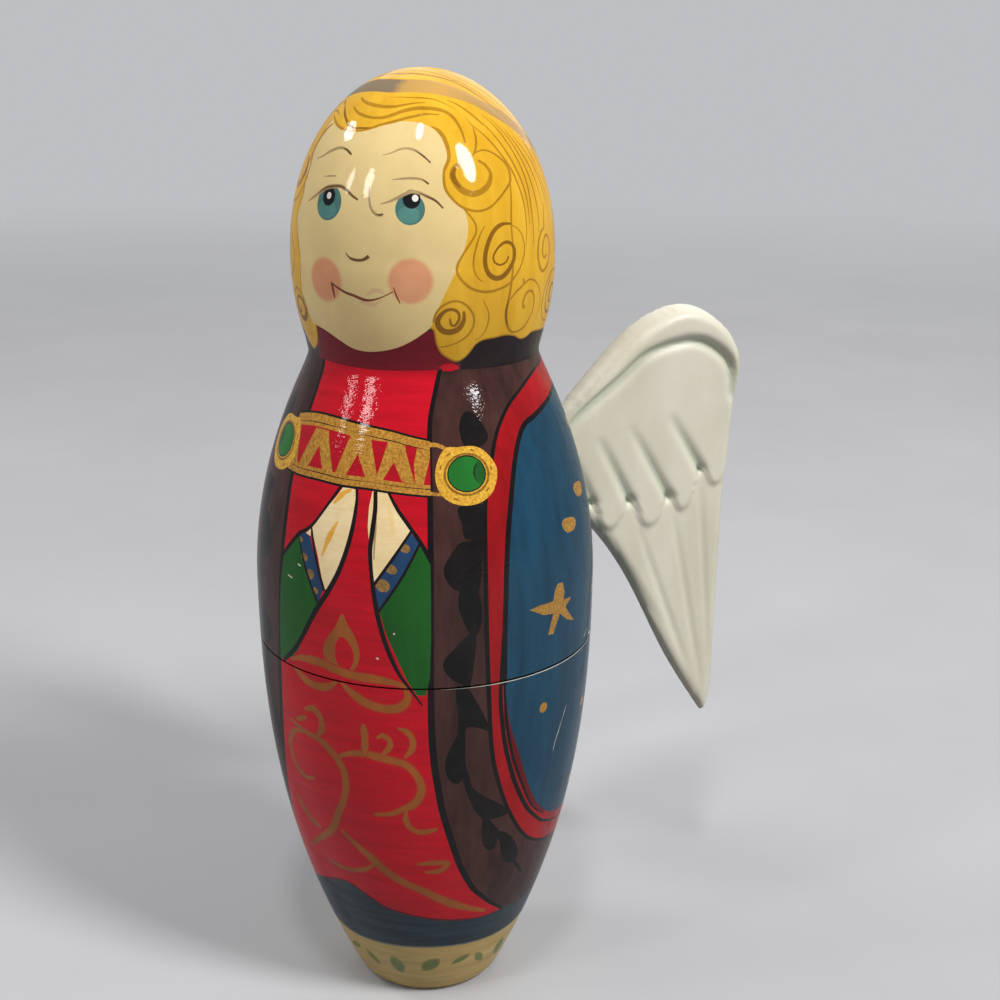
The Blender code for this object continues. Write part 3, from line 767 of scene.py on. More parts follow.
# Locks of hair: points, width in millimetres, share of the width along it
DARK_LOCKS = (
    ([(65, 154.7), (60, 154.7), (56, 153.8), (53, 152), (51.3, 149.8), (51.4, 147.9), (53.2, 146.4),
      (56.5, 145.7), (60, 146), (63.3, 147.2), (65.6, 148.7), (66, 150.2), (64.5, 151.3), (61.5, 151.7),
      (58.5, 151.2), (56, 150.2), (55, 149.3), (55.8, 148.4), (58.5, 147.9), (61.5, 148.4), (62.6, 149.3)],
     0.75, (0.4, 1.0, 1.1, 1.1, 1.2, 1.2, 1.0, 0.8, 0.5, 0.5, 0.4)),
    ([(42.2, 140.4), (42.4, 138.9), (40.5, 137.4), (37, 136.8), (33.5, 137.1), (31.3, 138.3), (31.8, 139.5),
      (34.5, 140.6), (37.5, 140.8), (39.9, 140.2), (40.3, 139), (38.6, 137.9), (36.9, 138.2), (36.4, 139.2)],
     0.9, (0.5, 1.1, 1.2, 1.2, 1.2, 1.0, 0.7, 0.6, 0.6, 0.5, 0.4)),
    ([(40.6, 164.2), (39.2, 163.2), (39.8, 162), (42, 160.9)], 0.9, (0.3, 1.0, 0.9, 0.3)),
    ([(64.6, 137), (62.9, 138.6), (62.6, 140.2), (63.4, 141.8)], 0.6, (0.4, 1.0, 0.9, 0.3)),
)
LIGHT_LOCKS = (
    ([(38, 165.6), (35.6, 164), (34.9, 162.4), (35.2, 161), (37, 159.7), (41, 158.1), (45.5, 157.3),
      (50, 157.1), (55, 157.6), (60, 158.9), (65, 160.4), (68, 161.4), (69.3, 162.6), (69, 164),
      (66.5, 165.2), (62, 166.3), (57, 166.8), (52, 166.4), (48.5, 165.6)], 0.5,
     (0.8, 1.0, 0.9, 0.9, 0.8, 0.9, 1.4, 0.8, 0.6, 0.4)),
    ([(43.5, 165), (40.5, 164.2), (39, 163.2), (39.6, 162.1), (42, 160.8), (45, 160.1), (48.5, 159.9),
      (52, 160.3), (55.5, 161.2), (57.6, 162.5), (57.8, 163.4), (55.8, 164.5), (52.5, 165.2)], 1.1,
     (0.4, 1.0, 1.1, 1.0, 0.9, 0.9, 0.6, 0.4)),
    ([(30.5, 170.7), (34, 170.1), (36.8, 168.9), (38.2, 167.2), (38.2, 165.8), (36.8, 164.6), (35.4, 163.6)],
     0.8, (0.2, 1.0, 1.0, 0.8, 0.4)),
    ([(43, 157.5), (46, 156), (47.7, 154.6), (47.3, 153.4), (45, 152), (42, 150.3), (39.5, 148.6),
      (39, 147.3), (40.5, 146), (44, 144.6), (48, 143.8), (53, 143.5), (58, 143.8), (63, 144.5), (67, 146),
      (70, 147.6), (71.8, 149.5), (72, 151), (70.5, 152.8), (67.5, 154), (63.5, 154.6)], 0.5,
     (0.6, 0.8, 0.8, 1.0, 1.0, 0.9, 0.7, 0.6, 0.4)),
    ([(51.5, 154.6), (49, 153), (47, 150.8), (46, 148.8), (46.5, 147), (48.5, 145.8), (50.5, 145.3)], 0.4,
     (0.4, 1.0, 0.8, 0.3)),
    ([(68, 161.2), (67, 159), (65.5, 156), (65, 153.5), (65.2, 150), (65, 147), (64.3, 144.5), (63.5, 142),
      (62.8, 140), (63.2, 138.2), (64.8, 136.8), (67.5, 135.8), (71, 135.6), (74.5, 136), (77.5, 137),
      (80, 138.6), (80.5, 140.2), (79.5, 141.8), (77, 142.7), (74, 142.4), (72.4, 141.2), (72.6, 140.1),
      (74, 139.8)], 0.6, (0.6, 0.7, 0.6, 0.7, 0.9, 1.0, 0.9, 0.7, 0.6, 0.8, 1.0)),
    ([(64.3, 141.7), (67, 142.8), (70, 143.6), (71.7, 144.1), (71.4, 145.1)], 0.5, (0.5, 1.0, 1.0)),
    ([(71.7, 144), (75, 144.7), (79, 144.4), (83, 143.2), (85.6, 141.4), (86.2, 139.2), (84.5, 137.2)], 0.4,
     (1.0, 0.8, 0.3)),
    ([(29.4, 138.6), (30.5, 140.2), (33, 141.4), (37, 142.2), (41, 142), (44.5, 140.9), (46.8, 139.3),
      (46.8, 137.6), (44.5, 136), (41, 135), (36, 134.3), (32.3, 134.1)], 0.45, (0.8, 1.0, 0.9, 0.8, 0.4)),
    ([(50.5, 142.2), (53.5, 139.9), (53.8, 138), (52, 136), (48.5, 134.9)], 0.35, (0.4, 1.0, 0.4)),
    ([(91.5, 157.2), (89.4, 155), (88.2, 153.2), (85, 152.5), (82.5, 150.8), (81.7, 148.9), (82.7, 147),
      (85.5, 145.7), (89, 146), (92.5, 147.3), (94, 149.4), (92.5, 151.3), (89.5, 151.8), (86.8, 150.6),
      (85.8, 149), (87.5, 147.9), (89.8, 148.4)], 0.6, (0.4, 0.7, 1.0, 1.2, 1.0, 0.8, 0.8, 1.0, 0.8)),
)
STRANDS = (
    [(52.5, 172), (55, 170.8), (60, 169.3), (64, 167.7), (67.5, 165.8), (71, 163.5), (73, 161),
     (74.3, 158.5), (74.5, 156), (74, 153), (73, 150.5)],
    [(65.5, 172.4), (70, 171), (74, 168.7), (77, 166), (79.3, 163), (79.8, 160), (79.3, 157), (79, 153.5),
     (78.3, 150.5)],
    [(71, 171.8), (77, 169), (81, 165.5), (83.3, 162), (84.2, 159), (84.3, 155), (83, 152.5)],
    [(77, 170.5), (82, 167.5), (86.5, 164), (88.8, 160.5), (89.8, 157)],
    [(83, 168.8), (90, 165), (93.4, 161), (94.4, 156.5)],
    [(60, 172), (66, 169.8), (71, 166.8), (75, 163), (77, 159), (76.6, 154)],
    [(44, 174.8), (51, 174), (58, 172.4), (63, 170.6)],
    [(55.2, 170.6), (54.6, 168.6), (52.4, 166.8), (49.6, 165.8)],
)
FORELOCK = (
    ("hair_line", [(-27, 175), (-20, 174.4), (-12, 174), (-2, 173.7), (6, 173.7), (13, 174), (20, 174.3),
      (28, 174.4)], 0.8, (0.4, 1.0, 0.9, 0.6, 0.2)),
    ("hair_line", [(-27, 173.5), (-20, 172.7), (-13, 172.2), (-5, 171.9), (2, 172), (8, 172.5), (14, 173.1),
      (22, 173.5), (30, 173.5), (38, 173.2), (43, 172.5), (46, 171.3), (47.6, 169.5), (47.8, 168)], 0.8,
     (0.3, 0.8, 0.6, 0.9, 1.0, 1.0, 1.0, 0.8, 0.4)),
    ("hair_dark", [(-40, 173.6), (-37, 173.2), (-32, 172.4), (-27, 171.6), (-22, 170.8), (-17, 170.2),
      (-10, 170.2), (-4, 170.3), (1, 170.8)], 0.5, (0.3, 1.0, 1.0, 0.9, 0.8, 0.3)),
    ("hair_line", [(-4, 170.3), (1, 170.8), (8, 171.3), (14, 171.8), (20, 172.2), (28, 172.6), (36, 172.5)],
     0.7, (0.6, 0.9, 0.7, 0.3)),
    ("hair_line", [(-45, 171.9), (-38, 171.2), (-30, 170.3), (-22, 169.8), (-16, 169.7), (-8, 169.9),
      (0, 170.5)], 0.55, (0.5, 1.0, 0.8, 0.4)),
    ("hair_line", [(-43.6, 171.4), (-44.6, 167), (-44.8, 164), (-41.4, 160.8), (-40.4, 158.6), (-43.4, 155),
      (-38.2, 148.4), (-38.2, 145), (-38.6, 141.4), (-34.2, 136.8)], 0.35, (0.8, 1.0, 0.8, 1.0, 0.8, 1.0)),
    ("hair_line", [(-58, 173.4), (-48, 174.2), (-40, 173.6)], 0.6, (0.2, 1.0, 0.5)),
    ("hair_line", [(-62, 170.6), (-54, 172.4), (-45, 172.6), (-37, 172)], 0.5, (0.2, 1.0, 0.4)),
    ("hair_line", [(-40, 178.9), (-10, 178.8), (20, 178.9)], 0.25, (0.2, 1.0, 0.2)),
    ("hair_line", [(0, 175.2), (16, 175.2), (34, 174.9), (48, 173.4)], 0.4, (0.2, 1.0, 0.3)),
)
CROWN_STRANDS = (
    [(-70, 177.6), (-30, 178.7), (15, 179), (50, 178.4), (70, 176.8), (82, 174.2), (90, 170.6), (95, 166.4)],
    [(-10, 179.5), (40, 179.2), (66, 178), (80, 175.8), (90, 172.6), (97, 168.4), (101, 163)],
    [(40, 178.7), (62, 177.6), (76, 175.2), (85, 172), (91, 168.4), (94, 164)],
    [(60, 179.4), (82, 177.6), (94, 174.4), (102, 170), (106, 165)],
    [(104, 179), (105, 176.6), (108, 172.6), (111, 168)],
)
BACK_CURLS = (
    (101, 140.5, 3.9, 3.9, 1.6, 120), (112, 151, 3.7, 4.3, 1.9, 60), (126, 140.6, 4.2, 4.2, 1.7, 20),
    (137, 150.6, 3.6, 3.9, 1.5, 90), (152, 141.2, 4.5, 4.4, 2.0, 150), (167, 150.4, 3.5, 3.7, 1.6, 40),
    (178, 140.6, 3.7, 4.2, 1.8, 75),
)
# Dark band round the neck under the hair: dark paint, deepened by painted shade where the head overhangs
NAPE = [
    (42.4, 129.8), (60, 129.6), (180, 129.6), (300, 129.6), (318, 129.8), (318, 137), (180, 137),
    (42.4, 137),
]
# Strands down the back of the head: their angles, and how many degrees they sway
BACK_STRANDS = range(96, 178, 7)
STRAND_SWAY = 2.5


def paint_hair(p):
    edge = mirrored(HAIR_EDGE) + HAIR_EDGE
    # Dark paint and painted shade of the head's overhang, under the hair
    p.area("shade", NAPE, smooth=False)
    p.between("hair", edge, [(190, 180), (0, 180), (-190, 180)])
    p.line("hair_line", edge, 0.3, (0.8, 1.0, 0.8))
    p.between("hair_band", mirrored(BAND_LOWER) + BAND_LOWER[1:], BAND_UPPER + mirrored(BAND_UPPER)[1:])
    p.area("skin", FACE)


def paint_locks(p):
    """Strands and curls drawn over the hair, on both sides and round the back."""
    for paint, locks in (("hair_line", LIGHT_LOCKS), ("hair_dark", DARK_LOCKS)):
        for points, width, swell in locks:
            p.pair(paint, points, width, swell, RIGHT_SHIFT)
    for points in STRANDS + CROWN_STRANDS:
        p.pair("hair_line", points, 0.5, (0.25, 0.8, 1.0, 0.8, 0.3))
    for angle, height, across, up, turns, start in BACK_CURLS:
        for side in ((1,) if angle > 175 else (1, -1)):
            phase = start if side > 0 else 180 - start
            p.curl("hair_dark", side * angle, height, across, up, side * turns, 0.6, phase)
            p.loop("hair_line", side * angle, height, ellipse(across * 1.32, up * 1.18, 24, 20 * side), 0.35)
    for angle in BACK_STRANDS:
        sway = STRAND_SWAY * math.sin(angle * 0.9)
        points = [(angle * 0.97, 175), (angle + sway, 168), (angle, 161), (angle - sway, 156.5)]
        p.pair("hair_line", points, 0.45, (0.2, 1.0, 0.8, 0.3))
    for stroke in FORELOCK:
        p.line(*stroke)


FEATURES = (
    ("face_soft", [(-36.5, 164.8), (-31, 165.4), (-26, 166.3), (-20, 166.9), (-15, 166.7), (-11, 166)], 0.6,
     (0.3, 1.0, 1.0, 0.6)),
    ("face_line", [(-18, 166.9), (-15, 166.7), (-12.8, 166.3), (-11, 165.9)], 0.45, (0.2, 0.7, 1.0, 0.6)),
    ("face_soft", [(6, 166.1), (10, 166.4), (14, 167), (18, 167.2), (22, 166.9), (26, 166), (29.3, 165)],
     0.45, (0.2, 0.8, 1.0, 1.0, 0.6)),
    ("face_line", [(22, 166.9), (26, 166), (29.3, 164.9)], 0.3, (0.2, 1.0, 0.7)),
    ("face_soft", [(-33.5, 157.8), (-30, 158.5), (-26, 159.4), (-22, 160.3), (-17.5, 160.7), (-13, 160.8),
      (-9.5, 160.3), (-6, 159.4), (-3.2, 158.9)], 0.75, (0.4, 1.0, 1.0, 0.9, 0.5)),
    ("face_line", [(-27, 159.2), (-22, 160.3), (-17.5, 160.7), (-13, 160.8), (-9.5, 160.3), (-6, 159.4),
      (-3, 158.8)], 0.45, (0.2, 0.9, 0.8, 0.9, 1.0, 0.7)),
    ("face_soft", [(7.5, 158.3), (11, 158.7), (14.5, 159.3), (18, 160), (21, 160.4), (24, 160.2),
      (27.5, 159.6), (31, 158.9), (34, 157.7)], 0.6, (0.3, 0.9, 1.0, 0.9, 0.6)),
    ("face_line", [(24, 160.2), (27.5, 159.6), (31, 158.9), (34, 157.7)], 0.35, (0.3, 0.8, 1.0, 0.6)),
    ("face_soft", [(-25.5, 162.1), (-21, 162.3), (-17, 162.4)], 0.3, (0.3, 1.0, 0.8)),
    ("face_soft", [(12, 162.2), (16, 162.4), (21, 162.5), (25.5, 162.3), (28, 161.6)], 0.4,
     (0.3, 1.0, 1.0, 0.8)),
    ("face_line", [(25.5, 162.3), (28.2, 161.6)], 0.35, (0.4, 1.0)),
    ("face_soft", [(1.7, 161), (2.2, 159.3), (3, 157.9), (4.5, 157), (6.5, 156.5), (8.8, 156.6)], 0.5,
     (0.3, 0.7, 1.0, 1.0)),
    ("face_line", [(6, 156.6), (7.5, 156.5), (9, 156.7)], 0.3, (0.2, 1.0, 0.8)),
    ("face_line", [(-7.5, 150), (-5.5, 149.2), (-2, 148.9), (1, 149.1), (3.2, 149.7)], 0.5,
     (0.3, 1.0, 1.0, 1.3)),
    ("lip", [(1.5, 143.1), (5, 143.9), (7.6, 143.9), (10.4, 143.3)], 0.9, (0.2, 1.0, 0.9, 0.1)),
    ("lip", [(-2, 142), (2, 141.6), (5, 141.6), (8.6, 142.4)], 0.8, (0.1, 1.0, 1.0, 0.1)),
    ("mouth", [(-15.4, 144.6), (-12, 143.9), (-8, 143.2), (-4, 142.8), (-1, 142.4), (1.5, 142.2),
      (4.5, 142.3), (8, 142.8), (11, 143.4), (13.2, 143.9)], 0.5, (0.7, 0.9, 1.0, 1.1, 0.7, 0.4, 0.4)),
    ("mouth", [(-15.4, 144.7), (-14.8, 143.8), (-14.1, 142)], 0.55, (0.5, 1.0, 0.5)),
    ("mouth", [(13.4, 144.7), (14.3, 143.4), (15.9, 141.9)], 0.35, (0.4, 1.0, 0.6)),
)
# Eyes: iris angle, height, half width and half height, then pupil angle, height and glint angle
EYES = ((-18.7, 158.0, 2.95, 3.0, -19.0, 159.0, -19.0), (20.2, 157.6, 2.5, 2.65, 20.8, 159.2, 22.3))


def paint_face(p):
    for angle, height, across, up, pupil, pupil_height, glint in EYES:
        p.dab("iris", angle, height, ellipse(across, up, 20))
        p.dab("iris_light", angle - 0.6, height - 0.35 * up, ellipse(across * 0.74, up * 0.54, 18))
        p.dab("pupil", pupil, pupil_height, ellipse(1.5, 1.6, 18))
        p.dab("white", glint, pupil_height + 0.15, ellipse(0.55, 0.6, 12))
    for stroke in FEATURES:
        p.line(*stroke)


# Pale lines by the seam, where paint is rubbed off, and on the cloak: points, width in millimetres, share of
# the width along it
PALE_LINES = (
    ([(30, 74.65), (48, 74.6), (63, 74.55), (80, 74.55), (98, 74.6), (116, 74.65)], 0.18,
     (0.1, 0.4, 0.9, 0.6, 1.0, 0.8, 1.0, 0.5, 0.9, 0.2)),
    ([(-118, 74.6), (-96, 74.5), (-70, 74.5), (-50, 74.6)], 0.26, (0.2, 0.8, 0.5, 1.0, 0.2)),
    ([(81, 65), (78.5, 62), (77, 59.6)], 0.22, (0.1, 0.9, 0.3, 0.8, 0.1)),
    ([(77.6, 60.8), (76, 58.6), (75, 56.2)], 0.22, (0.1, 0.9, 0.3, 0.8, 0.1)),
    ([(92, 76.4), (97, 77.4)], 0.22, (0.1, 0.9, 0.3, 0.8, 0.1)),
)
# Knocks: angle, height, half width, half height
KNOCKS = (
    (10, 80.4, 0.28, 0.2), (-19.2, 95, 0.5, 0.16), (-23.5, 92.3, 0.8, 0.14), (15.5, 85.3, 0.2, 0.2),
    (101, 75.4, 1.0, 0.35), (-140, 75.4, 0.8, 0.3),
)


def paint_pale_marks(p):
    for points, width, swell in PALE_LINES:
        p.line("worn", points, width, swell)
    for angle, height, across, up in KNOCKS:
        p.dab("worn", angle, height, ellipse(across, up, 8, -12))


def dress(step):
    """The whole painting of one doll."""
    p = Painting(step)
    for part in (paint_foot, paint_cloak, paint_stars, paint_robe, paint_scrolls, paint_sleeves, paint_belt,
                 paint_hair, paint_locks, paint_face, paint_pale_marks):
        part(p)
    return p.shapes


# Materials

def srgb(*levels):
    """Linear colour of 0 to 255 levels."""
    shares = [level / 255.0 for level in levels]
    return tuple(c / 12.92 if c <= 0.04045 else ((c + 0.055) / 1.055) ** 2.4 for c in shares) + (1.0,)


def feed(tree, node, values):
    """Give a node its inputs: an output of another node is linked, and anything else is a plain value."""
    for socket, value in values.items():
        if isinstance(value, bpy.types.NodeSocket):
            tree.links.new(value, node.inputs[socket])
        else:
            node.inputs[socket].default_value = value


def add_node(tree, kind, values=None, **settings):
    """A node with its settings made and its inputs fed."""
    made = tree.nodes.new(kind)
    for name, value in settings.items():
        setattr(made, name, value)
    feed(tree, made, values or {})
    return made


def noise(tree, stretch, detail=4.0, roughness=0.6):
    """Noise over the piece's own coordinates; stretch is its frequency per metre along each axis."""
    place = add_node(tree, "ShaderNodeTexCoord")
    fit = add_node(tree, "ShaderNodeMapping", {"Vector": place.outputs["Object"], "Scale": stretch})
    made = add_node(tree, "ShaderNodeTexNoise", {
        "Vector": fit.outputs["Vector"], "Scale": 1.0, "Detail": detail, "Roughness": roughness,
    })
    return made.outputs["Fac"]


def ramp(tree, factor, stops):
    """A colour ramp through (position, colour) stops, with colours in 0 to 255 levels."""
    made = add_node(tree, "ShaderNodeValToRGB", {"Fac": factor})
    elements = made.color_ramp.elements
    while len(elements) < len(stops):
        elements.new(0.5)
    for element, (position, colour) in zip(elements, stops):
        element.position = position
        element.color = srgb(*colour)
    return made.outputs["Color"]


def bump(tree, factor, strength, distance):
    made = add_node(tree, "ShaderNodeBump", {"Height": factor, "Strength": strength, "Distance": distance})
    return made.outputs["Normal"]


def new_material(name):
    material = bpy.data.materials.new(name)
    material.use_nodes = True
    return material, material.node_tree, material.node_tree.nodes["Principled BSDF"]


# Unevenness of the paint: frequency per metre along each axis
UPRIGHT = (240.0, 240.0, 40.0)
LEVEL = (60.0, 60.0, 640.0)
MOTTLED = (170.0, 170.0, 170.0)
GRAINY = (2200.0, 2200.0, 2200.0)
SMUDGED = (38.0, 38.0, 38.0)
# Unevenness of the lacquer: frequency per metre along each axis, and strength; its height is in metres
LACQUER_HEIGHT = 0.0002
TURNED = ((260.0, 260.0, 1500.0), 0.28)
BRUSHED = ((900.0, 900.0, 1500.0), 0.32)
POLISHED = ((900.0, 900.0, 1500.0), 0.06)
DABBED = ((1200.0, 1200.0, 1200.0), 0.20)
BAND_GREY = (112, 100, 94)
BAND_TAN = (186, 146, 98)
# Cheeks: angle and height
CHEEKS = ((-19, 145), (20.3, 145.7))


def lacquered(name, dark, light, stretch=MOTTLED, lacquer=TURNED):
    """Brushed paint in two tones under clear, slightly uneven lacquer."""
    material, tree, shader = new_material(name)
    feed(tree, shader, {"Base Color": ramp(tree, noise(tree, stretch), ((0.36, dark), (0.64, light)))})
    coat(tree, shader, lacquer)
    return material


def coat(tree, shader, lacquer):
    """Clear lacquer, as uneven as its look says, over paint that is duller in places."""
    stretch, strength = lacquer
    dull = add_node(tree, "ShaderNodeMapRange", {
        "Value": noise(tree, SMUDGED, 3.0), "From Min": 0.3, "From Max": 0.7, "To Min": 0.42, "To Max": 0.6,
    })
    uneven = bump(tree, noise(tree, stretch, 2.0), strength, LACQUER_HEIGHT)
    feed(tree, shader, {
        "Specular IOR Level": 0.0, "Coat Weight": 0.45, "Coat Roughness": 0.04,
        "Roughness": dull.outputs["Result"], "Normal": uneven, "Coat Normal": uneven,
    })


def band_paint(name, hair, scale):
    """A brown wash across the crown, greyer on the doll's right."""
    material, tree, shader = new_material(name)
    place = add_node(tree, "ShaderNodeTexCoord")
    parts = add_node(tree, "ShaderNodeSeparateXYZ", {"Vector": place.outputs["Object"]})
    across = add_node(tree, "ShaderNodeMapRange", {
        "Value": parts.outputs["X"], "From Min": -2.0 * MM * scale, "From Max": 16.0 * MM * scale,
        "To Min": -0.12, "To Max": 0.88,
    }, clamp=False)
    uneven = add_node(tree, "ShaderNodeMath", {
        0: noise(tree, LEVEL), 1: 0.24, 2: across.outputs["Result"],
    }, operation="MULTIPLY_ADD")
    grey = blended(hair, BAND_GREY, 0.85)
    tan = blended(hair, BAND_TAN, 0.7)
    colour = ramp(tree, uneven.outputs["Value"], (
        (0.1, grey), (0.2, blended(grey, tan, 0.85)), (0.5, tan), (1.0, blended(tan, grey, 0.35)),
    ))
    feed(tree, shader, {"Base Color": colour})
    coat(tree, shader, POLISHED)
    return material


def skin_paint(name, place, scale):
    """Cream skin with two soft round cheeks."""
    material, tree, shader = new_material(name)
    where = add_node(tree, "ShaderNodeTexCoord").outputs["Object"]
    gaps = []
    for spot in CHEEKS:
        away = add_node(tree, "ShaderNodeVectorMath", {0: where, 1: place(*spot)}, operation="DISTANCE")
        gaps.append(away.outputs["Value"])
    nearest = add_node(tree, "ShaderNodeMath", {0: gaps[0], 1: gaps[1]}, operation="MINIMUM")
    blush = add_node(tree, "ShaderNodeMapRange", {
        "Value": nearest.outputs["Value"], "From Min": 4.3 * MM * scale, "From Max": 3.3 * MM * scale,
        "To Min": 0.0, "To Max": 0.8,
    }, interpolation_type="SMOOTHSTEP")
    mottle = noise(tree, MOTTLED)
    mixed = add_node(tree, "ShaderNodeMix", {
        "Factor": blush.outputs["Result"],
        "A": ramp(tree, mottle, ((0.3, (216, 189, 130)), (0.7, (223, 198, 139)))),
        "B": ramp(tree, mottle, ((0.3, (206, 124, 92)), (0.7, (218, 144, 108)))),
    }, data_type="RGBA")
    feed(tree, shader, {"Base Color": mixed.outputs["Result"]})
    coat(tree, shader, POLISHED)
    return material


def bare_wood(name):
    """Pale turned lime wood: long grain with fine turning rings."""
    material, tree, shader = new_material(name)
    grain = noise(tree, (330.0, 330.0, 26.0), 5.0, 0.65)
    rings = noise(tree, (8.0, 8.0, 1500.0), 2.0)
    tones_of_wood = ((0.3, (186, 138, 84)), (0.55, (212, 170, 116)), (0.75, (226, 190, 140)))
    feed(tree, shader, {
        "Base Color": ramp(tree, grain, tones_of_wood),
        "Roughness": 0.62,
        "Normal": bump(tree, rings, 0.5, 0.0002),
    })
    return material


def wing_paint(name):
    """Off-white satin paint, with a greyish green painted shade where the carving is deep."""
    material, tree, shader = new_material(name)
    patches = noise(tree, (55.0, 55.0, 30.0), 5.0)
    grain = noise(tree, (240.0, 240.0, 60.0))
    carving = add_node(tree, "ShaderNodeAttribute", attribute_name="carving")
    # Painted shade in the grooves, deeper where the carving is deeper
    groove_shade = add_node(tree, "ShaderNodeMix", {
        "Factor": carving.outputs["Fac"],
        "A": ramp(tree, patches, ((0.3, (202, 196, 173)), (0.7, (219, 214, 196)))),
        "B": srgb(182, 190, 168),
    }, data_type="RGBA")
    feed(tree, shader, {
        "Base Color": groove_shade.outputs["Result"],
        "Roughness": 0.42,
        "Normal": bump(tree, grain, 0.25, 0.0003),
    })
    return material


# Paints that every doll has: darker and lighter tone, and the unevenness of paint and lacquer
COMMON = {
    "line": ((10, 6, 8), (22, 14, 16)),
    "shade": ((18, 9, 10), (34, 20, 20)),
    "edge": ((48, 26, 23), (72, 44, 40), UPRIGHT, DABBED),
    "vine": ((9, 6, 7), (24, 18, 18), MOTTLED, DABBED),
    "hem": ((32, 46, 54), (46, 62, 72), LEVEL),
    "hem_rim": ((104, 104, 92), (124, 122, 104)),
    "foot": ((184, 154, 92), (204, 176, 112), LEVEL),
    "leaf": ((108, 122, 66), (124, 134, 78)),
    "leaf_rim": ((140, 136, 78), (158, 148, 90)),
    "hand": ((229, 199, 143), (239, 215, 168)),
    "hand_shade": ((150, 124, 84), (176, 148, 104)),
    "ochre": ((216, 150, 44), (230, 172, 74)),
    "ochre_thin": ((228, 192, 124), (238, 206, 146)),
    "iris": ((62, 106, 102), (74, 118, 112)),
    "iris_light": ((72, 122, 114), (84, 134, 124)),
    "pupil": ((8, 9, 13), (20, 22, 28)),
    "white": ((214, 208, 196), (240, 236, 226)),
    "face_line": ((84, 62, 34), (116, 88, 52)),
    "face_soft": ((150, 126, 84), (178, 152, 106)),
    "mouth": ((106, 54, 36), (140, 78, 54)),
    "lip": ((208, 168, 124), (216, 180, 134)),
    "worn": ((190, 184, 172), (226, 216, 196)),
    "star": ((138, 98, 36), (176, 132, 60), GRAINY),
    "cuff_dot": ((118, 88, 48), (152, 118, 66), GRAINY),
    "gold": ((150, 100, 30), (196, 144, 58), GRAINY),
    "gold_light": ((188, 134, 34), (230, 180, 66), GRAINY),
    "gold_dark": ((118, 80, 18), (158, 112, 36), GRAINY),
}
FAIR = ((210, 157, 30), (223, 173, 46))
HAIR = {
    "outer": FAIR,
    "second": ((150, 92, 40), (176, 114, 54)),
    "third": FAIR,
    "fourth": ((96, 58, 34), (120, 76, 46)),
    "innermost": FAIR,
}
# The second colour of each robe is painted shade under the chin, a darker copy of the robe
ROBE_ROLES = ("robe", "collar", "trim", "cloak", "sleeve", "cuff", "gem")
RED_ROBE = (
    (186, 3, 26), (110, 4, 22), (148, 6, 14), (19, 60, 82), (20, 84, 24), (30, 62, 98), (28, 104, 36),
)
ROBES = {
    "outer": RED_ROBE,
    "second": ((36, 88, 140), (20, 48, 92), (202, 150, 60), (150, 24, 34), (196, 60, 40), (40, 110, 62),
               (186, 26, 36)),
    "third": ((30, 116, 58), (16, 70, 36), (196, 40, 44), (110, 64, 128), (206, 150, 58), (160, 28, 38),
              (52, 92, 150)),
    "fourth": ((206, 146, 50), (140, 84, 30), (30, 96, 120), (176, 30, 40), (40, 96, 138), (28, 108, 52),
               (28, 108, 52)),
    "innermost": RED_ROBE[:2] + ((204, 150, 60),) + RED_ROBE[3:],
}
OLD_GOLD = (146, 106, 34)
HAIR_INK = (92, 52, 0)
SOOT = (20, 18, 20)
# Paints mixed for each doll: role, the robe paint it starts from, what is mixed in, and the share of that
MIXES = (
    ("belt", "robe", SOOT, 0.1),
    ("hem_shade", "robe", SOOT, 0.55),
    ("trim_shade", "trim", SOOT, 0.4),
    ("gem_dark", "gem", SOOT, 0.3),
    ("thin_gold", "robe", OLD_GOLD, 0.8),
    ("thin_gold_rim", "robe", OLD_GOLD, 0.4),
)
HAIR_MIXES = (("hair_line", 0.36), ("hair_dark", 0.64))
SPREAD = 0.045
CLOAK_SPREAD = 0.09


def tones(colour, spread):
    """A darker and a lighter tone of one colour."""
    dark = tuple(level * (1.0 - spread) for level in colour)
    light = tuple(min(255.0, level * (1.0 + spread) + 3.0) for level in colour)
    return dark, light


def blended(first, second, share):
    return tuple(a + (b - a) * share for a, b in zip(first, second))


COMMON_PAINTS = {role: lacquered(role, *look) for role, look in COMMON.items()}
WOOD = bare_wood("bare_wood")


def palette(doll):
    """Every paint of one doll, by its role in the painting."""
    colours = dict(zip(ROBE_ROLES, ROBES[doll.name]))
    dark, light = HAIR[doll.name]
    for role, start, pigment, share in MIXES:
        colours[role] = blended(colours[start], pigment, share)
    for role, share in HAIR_MIXES:
        colours[role] = blended(dark, HAIR_INK, share)
    paints = dict(COMMON_PAINTS)
    for role, colour in colours.items():
        stretch = LEVEL if role in ("robe", "belt", "collar") else UPRIGHT
        spread = CLOAK_SPREAD if role in ("cloak", "trim") else SPREAD
        paints[role] = lacquered(f"{doll.name}_{role}", *tones(colour, spread), stretch, BRUSHED)
    paints["hair"] = lacquered(f"{doll.name}_hair", dark, light, UPRIGHT, POLISHED)
    paints["hair_band"] = band_paint(f"{doll.name}_hair_band", dark, doll.scale)
    paints["skin"] = skin_paint(f"{doll.name}_skin", doll.spot, doll.scale)
    paints["wood"] = WOOD
    return paints


# Shells

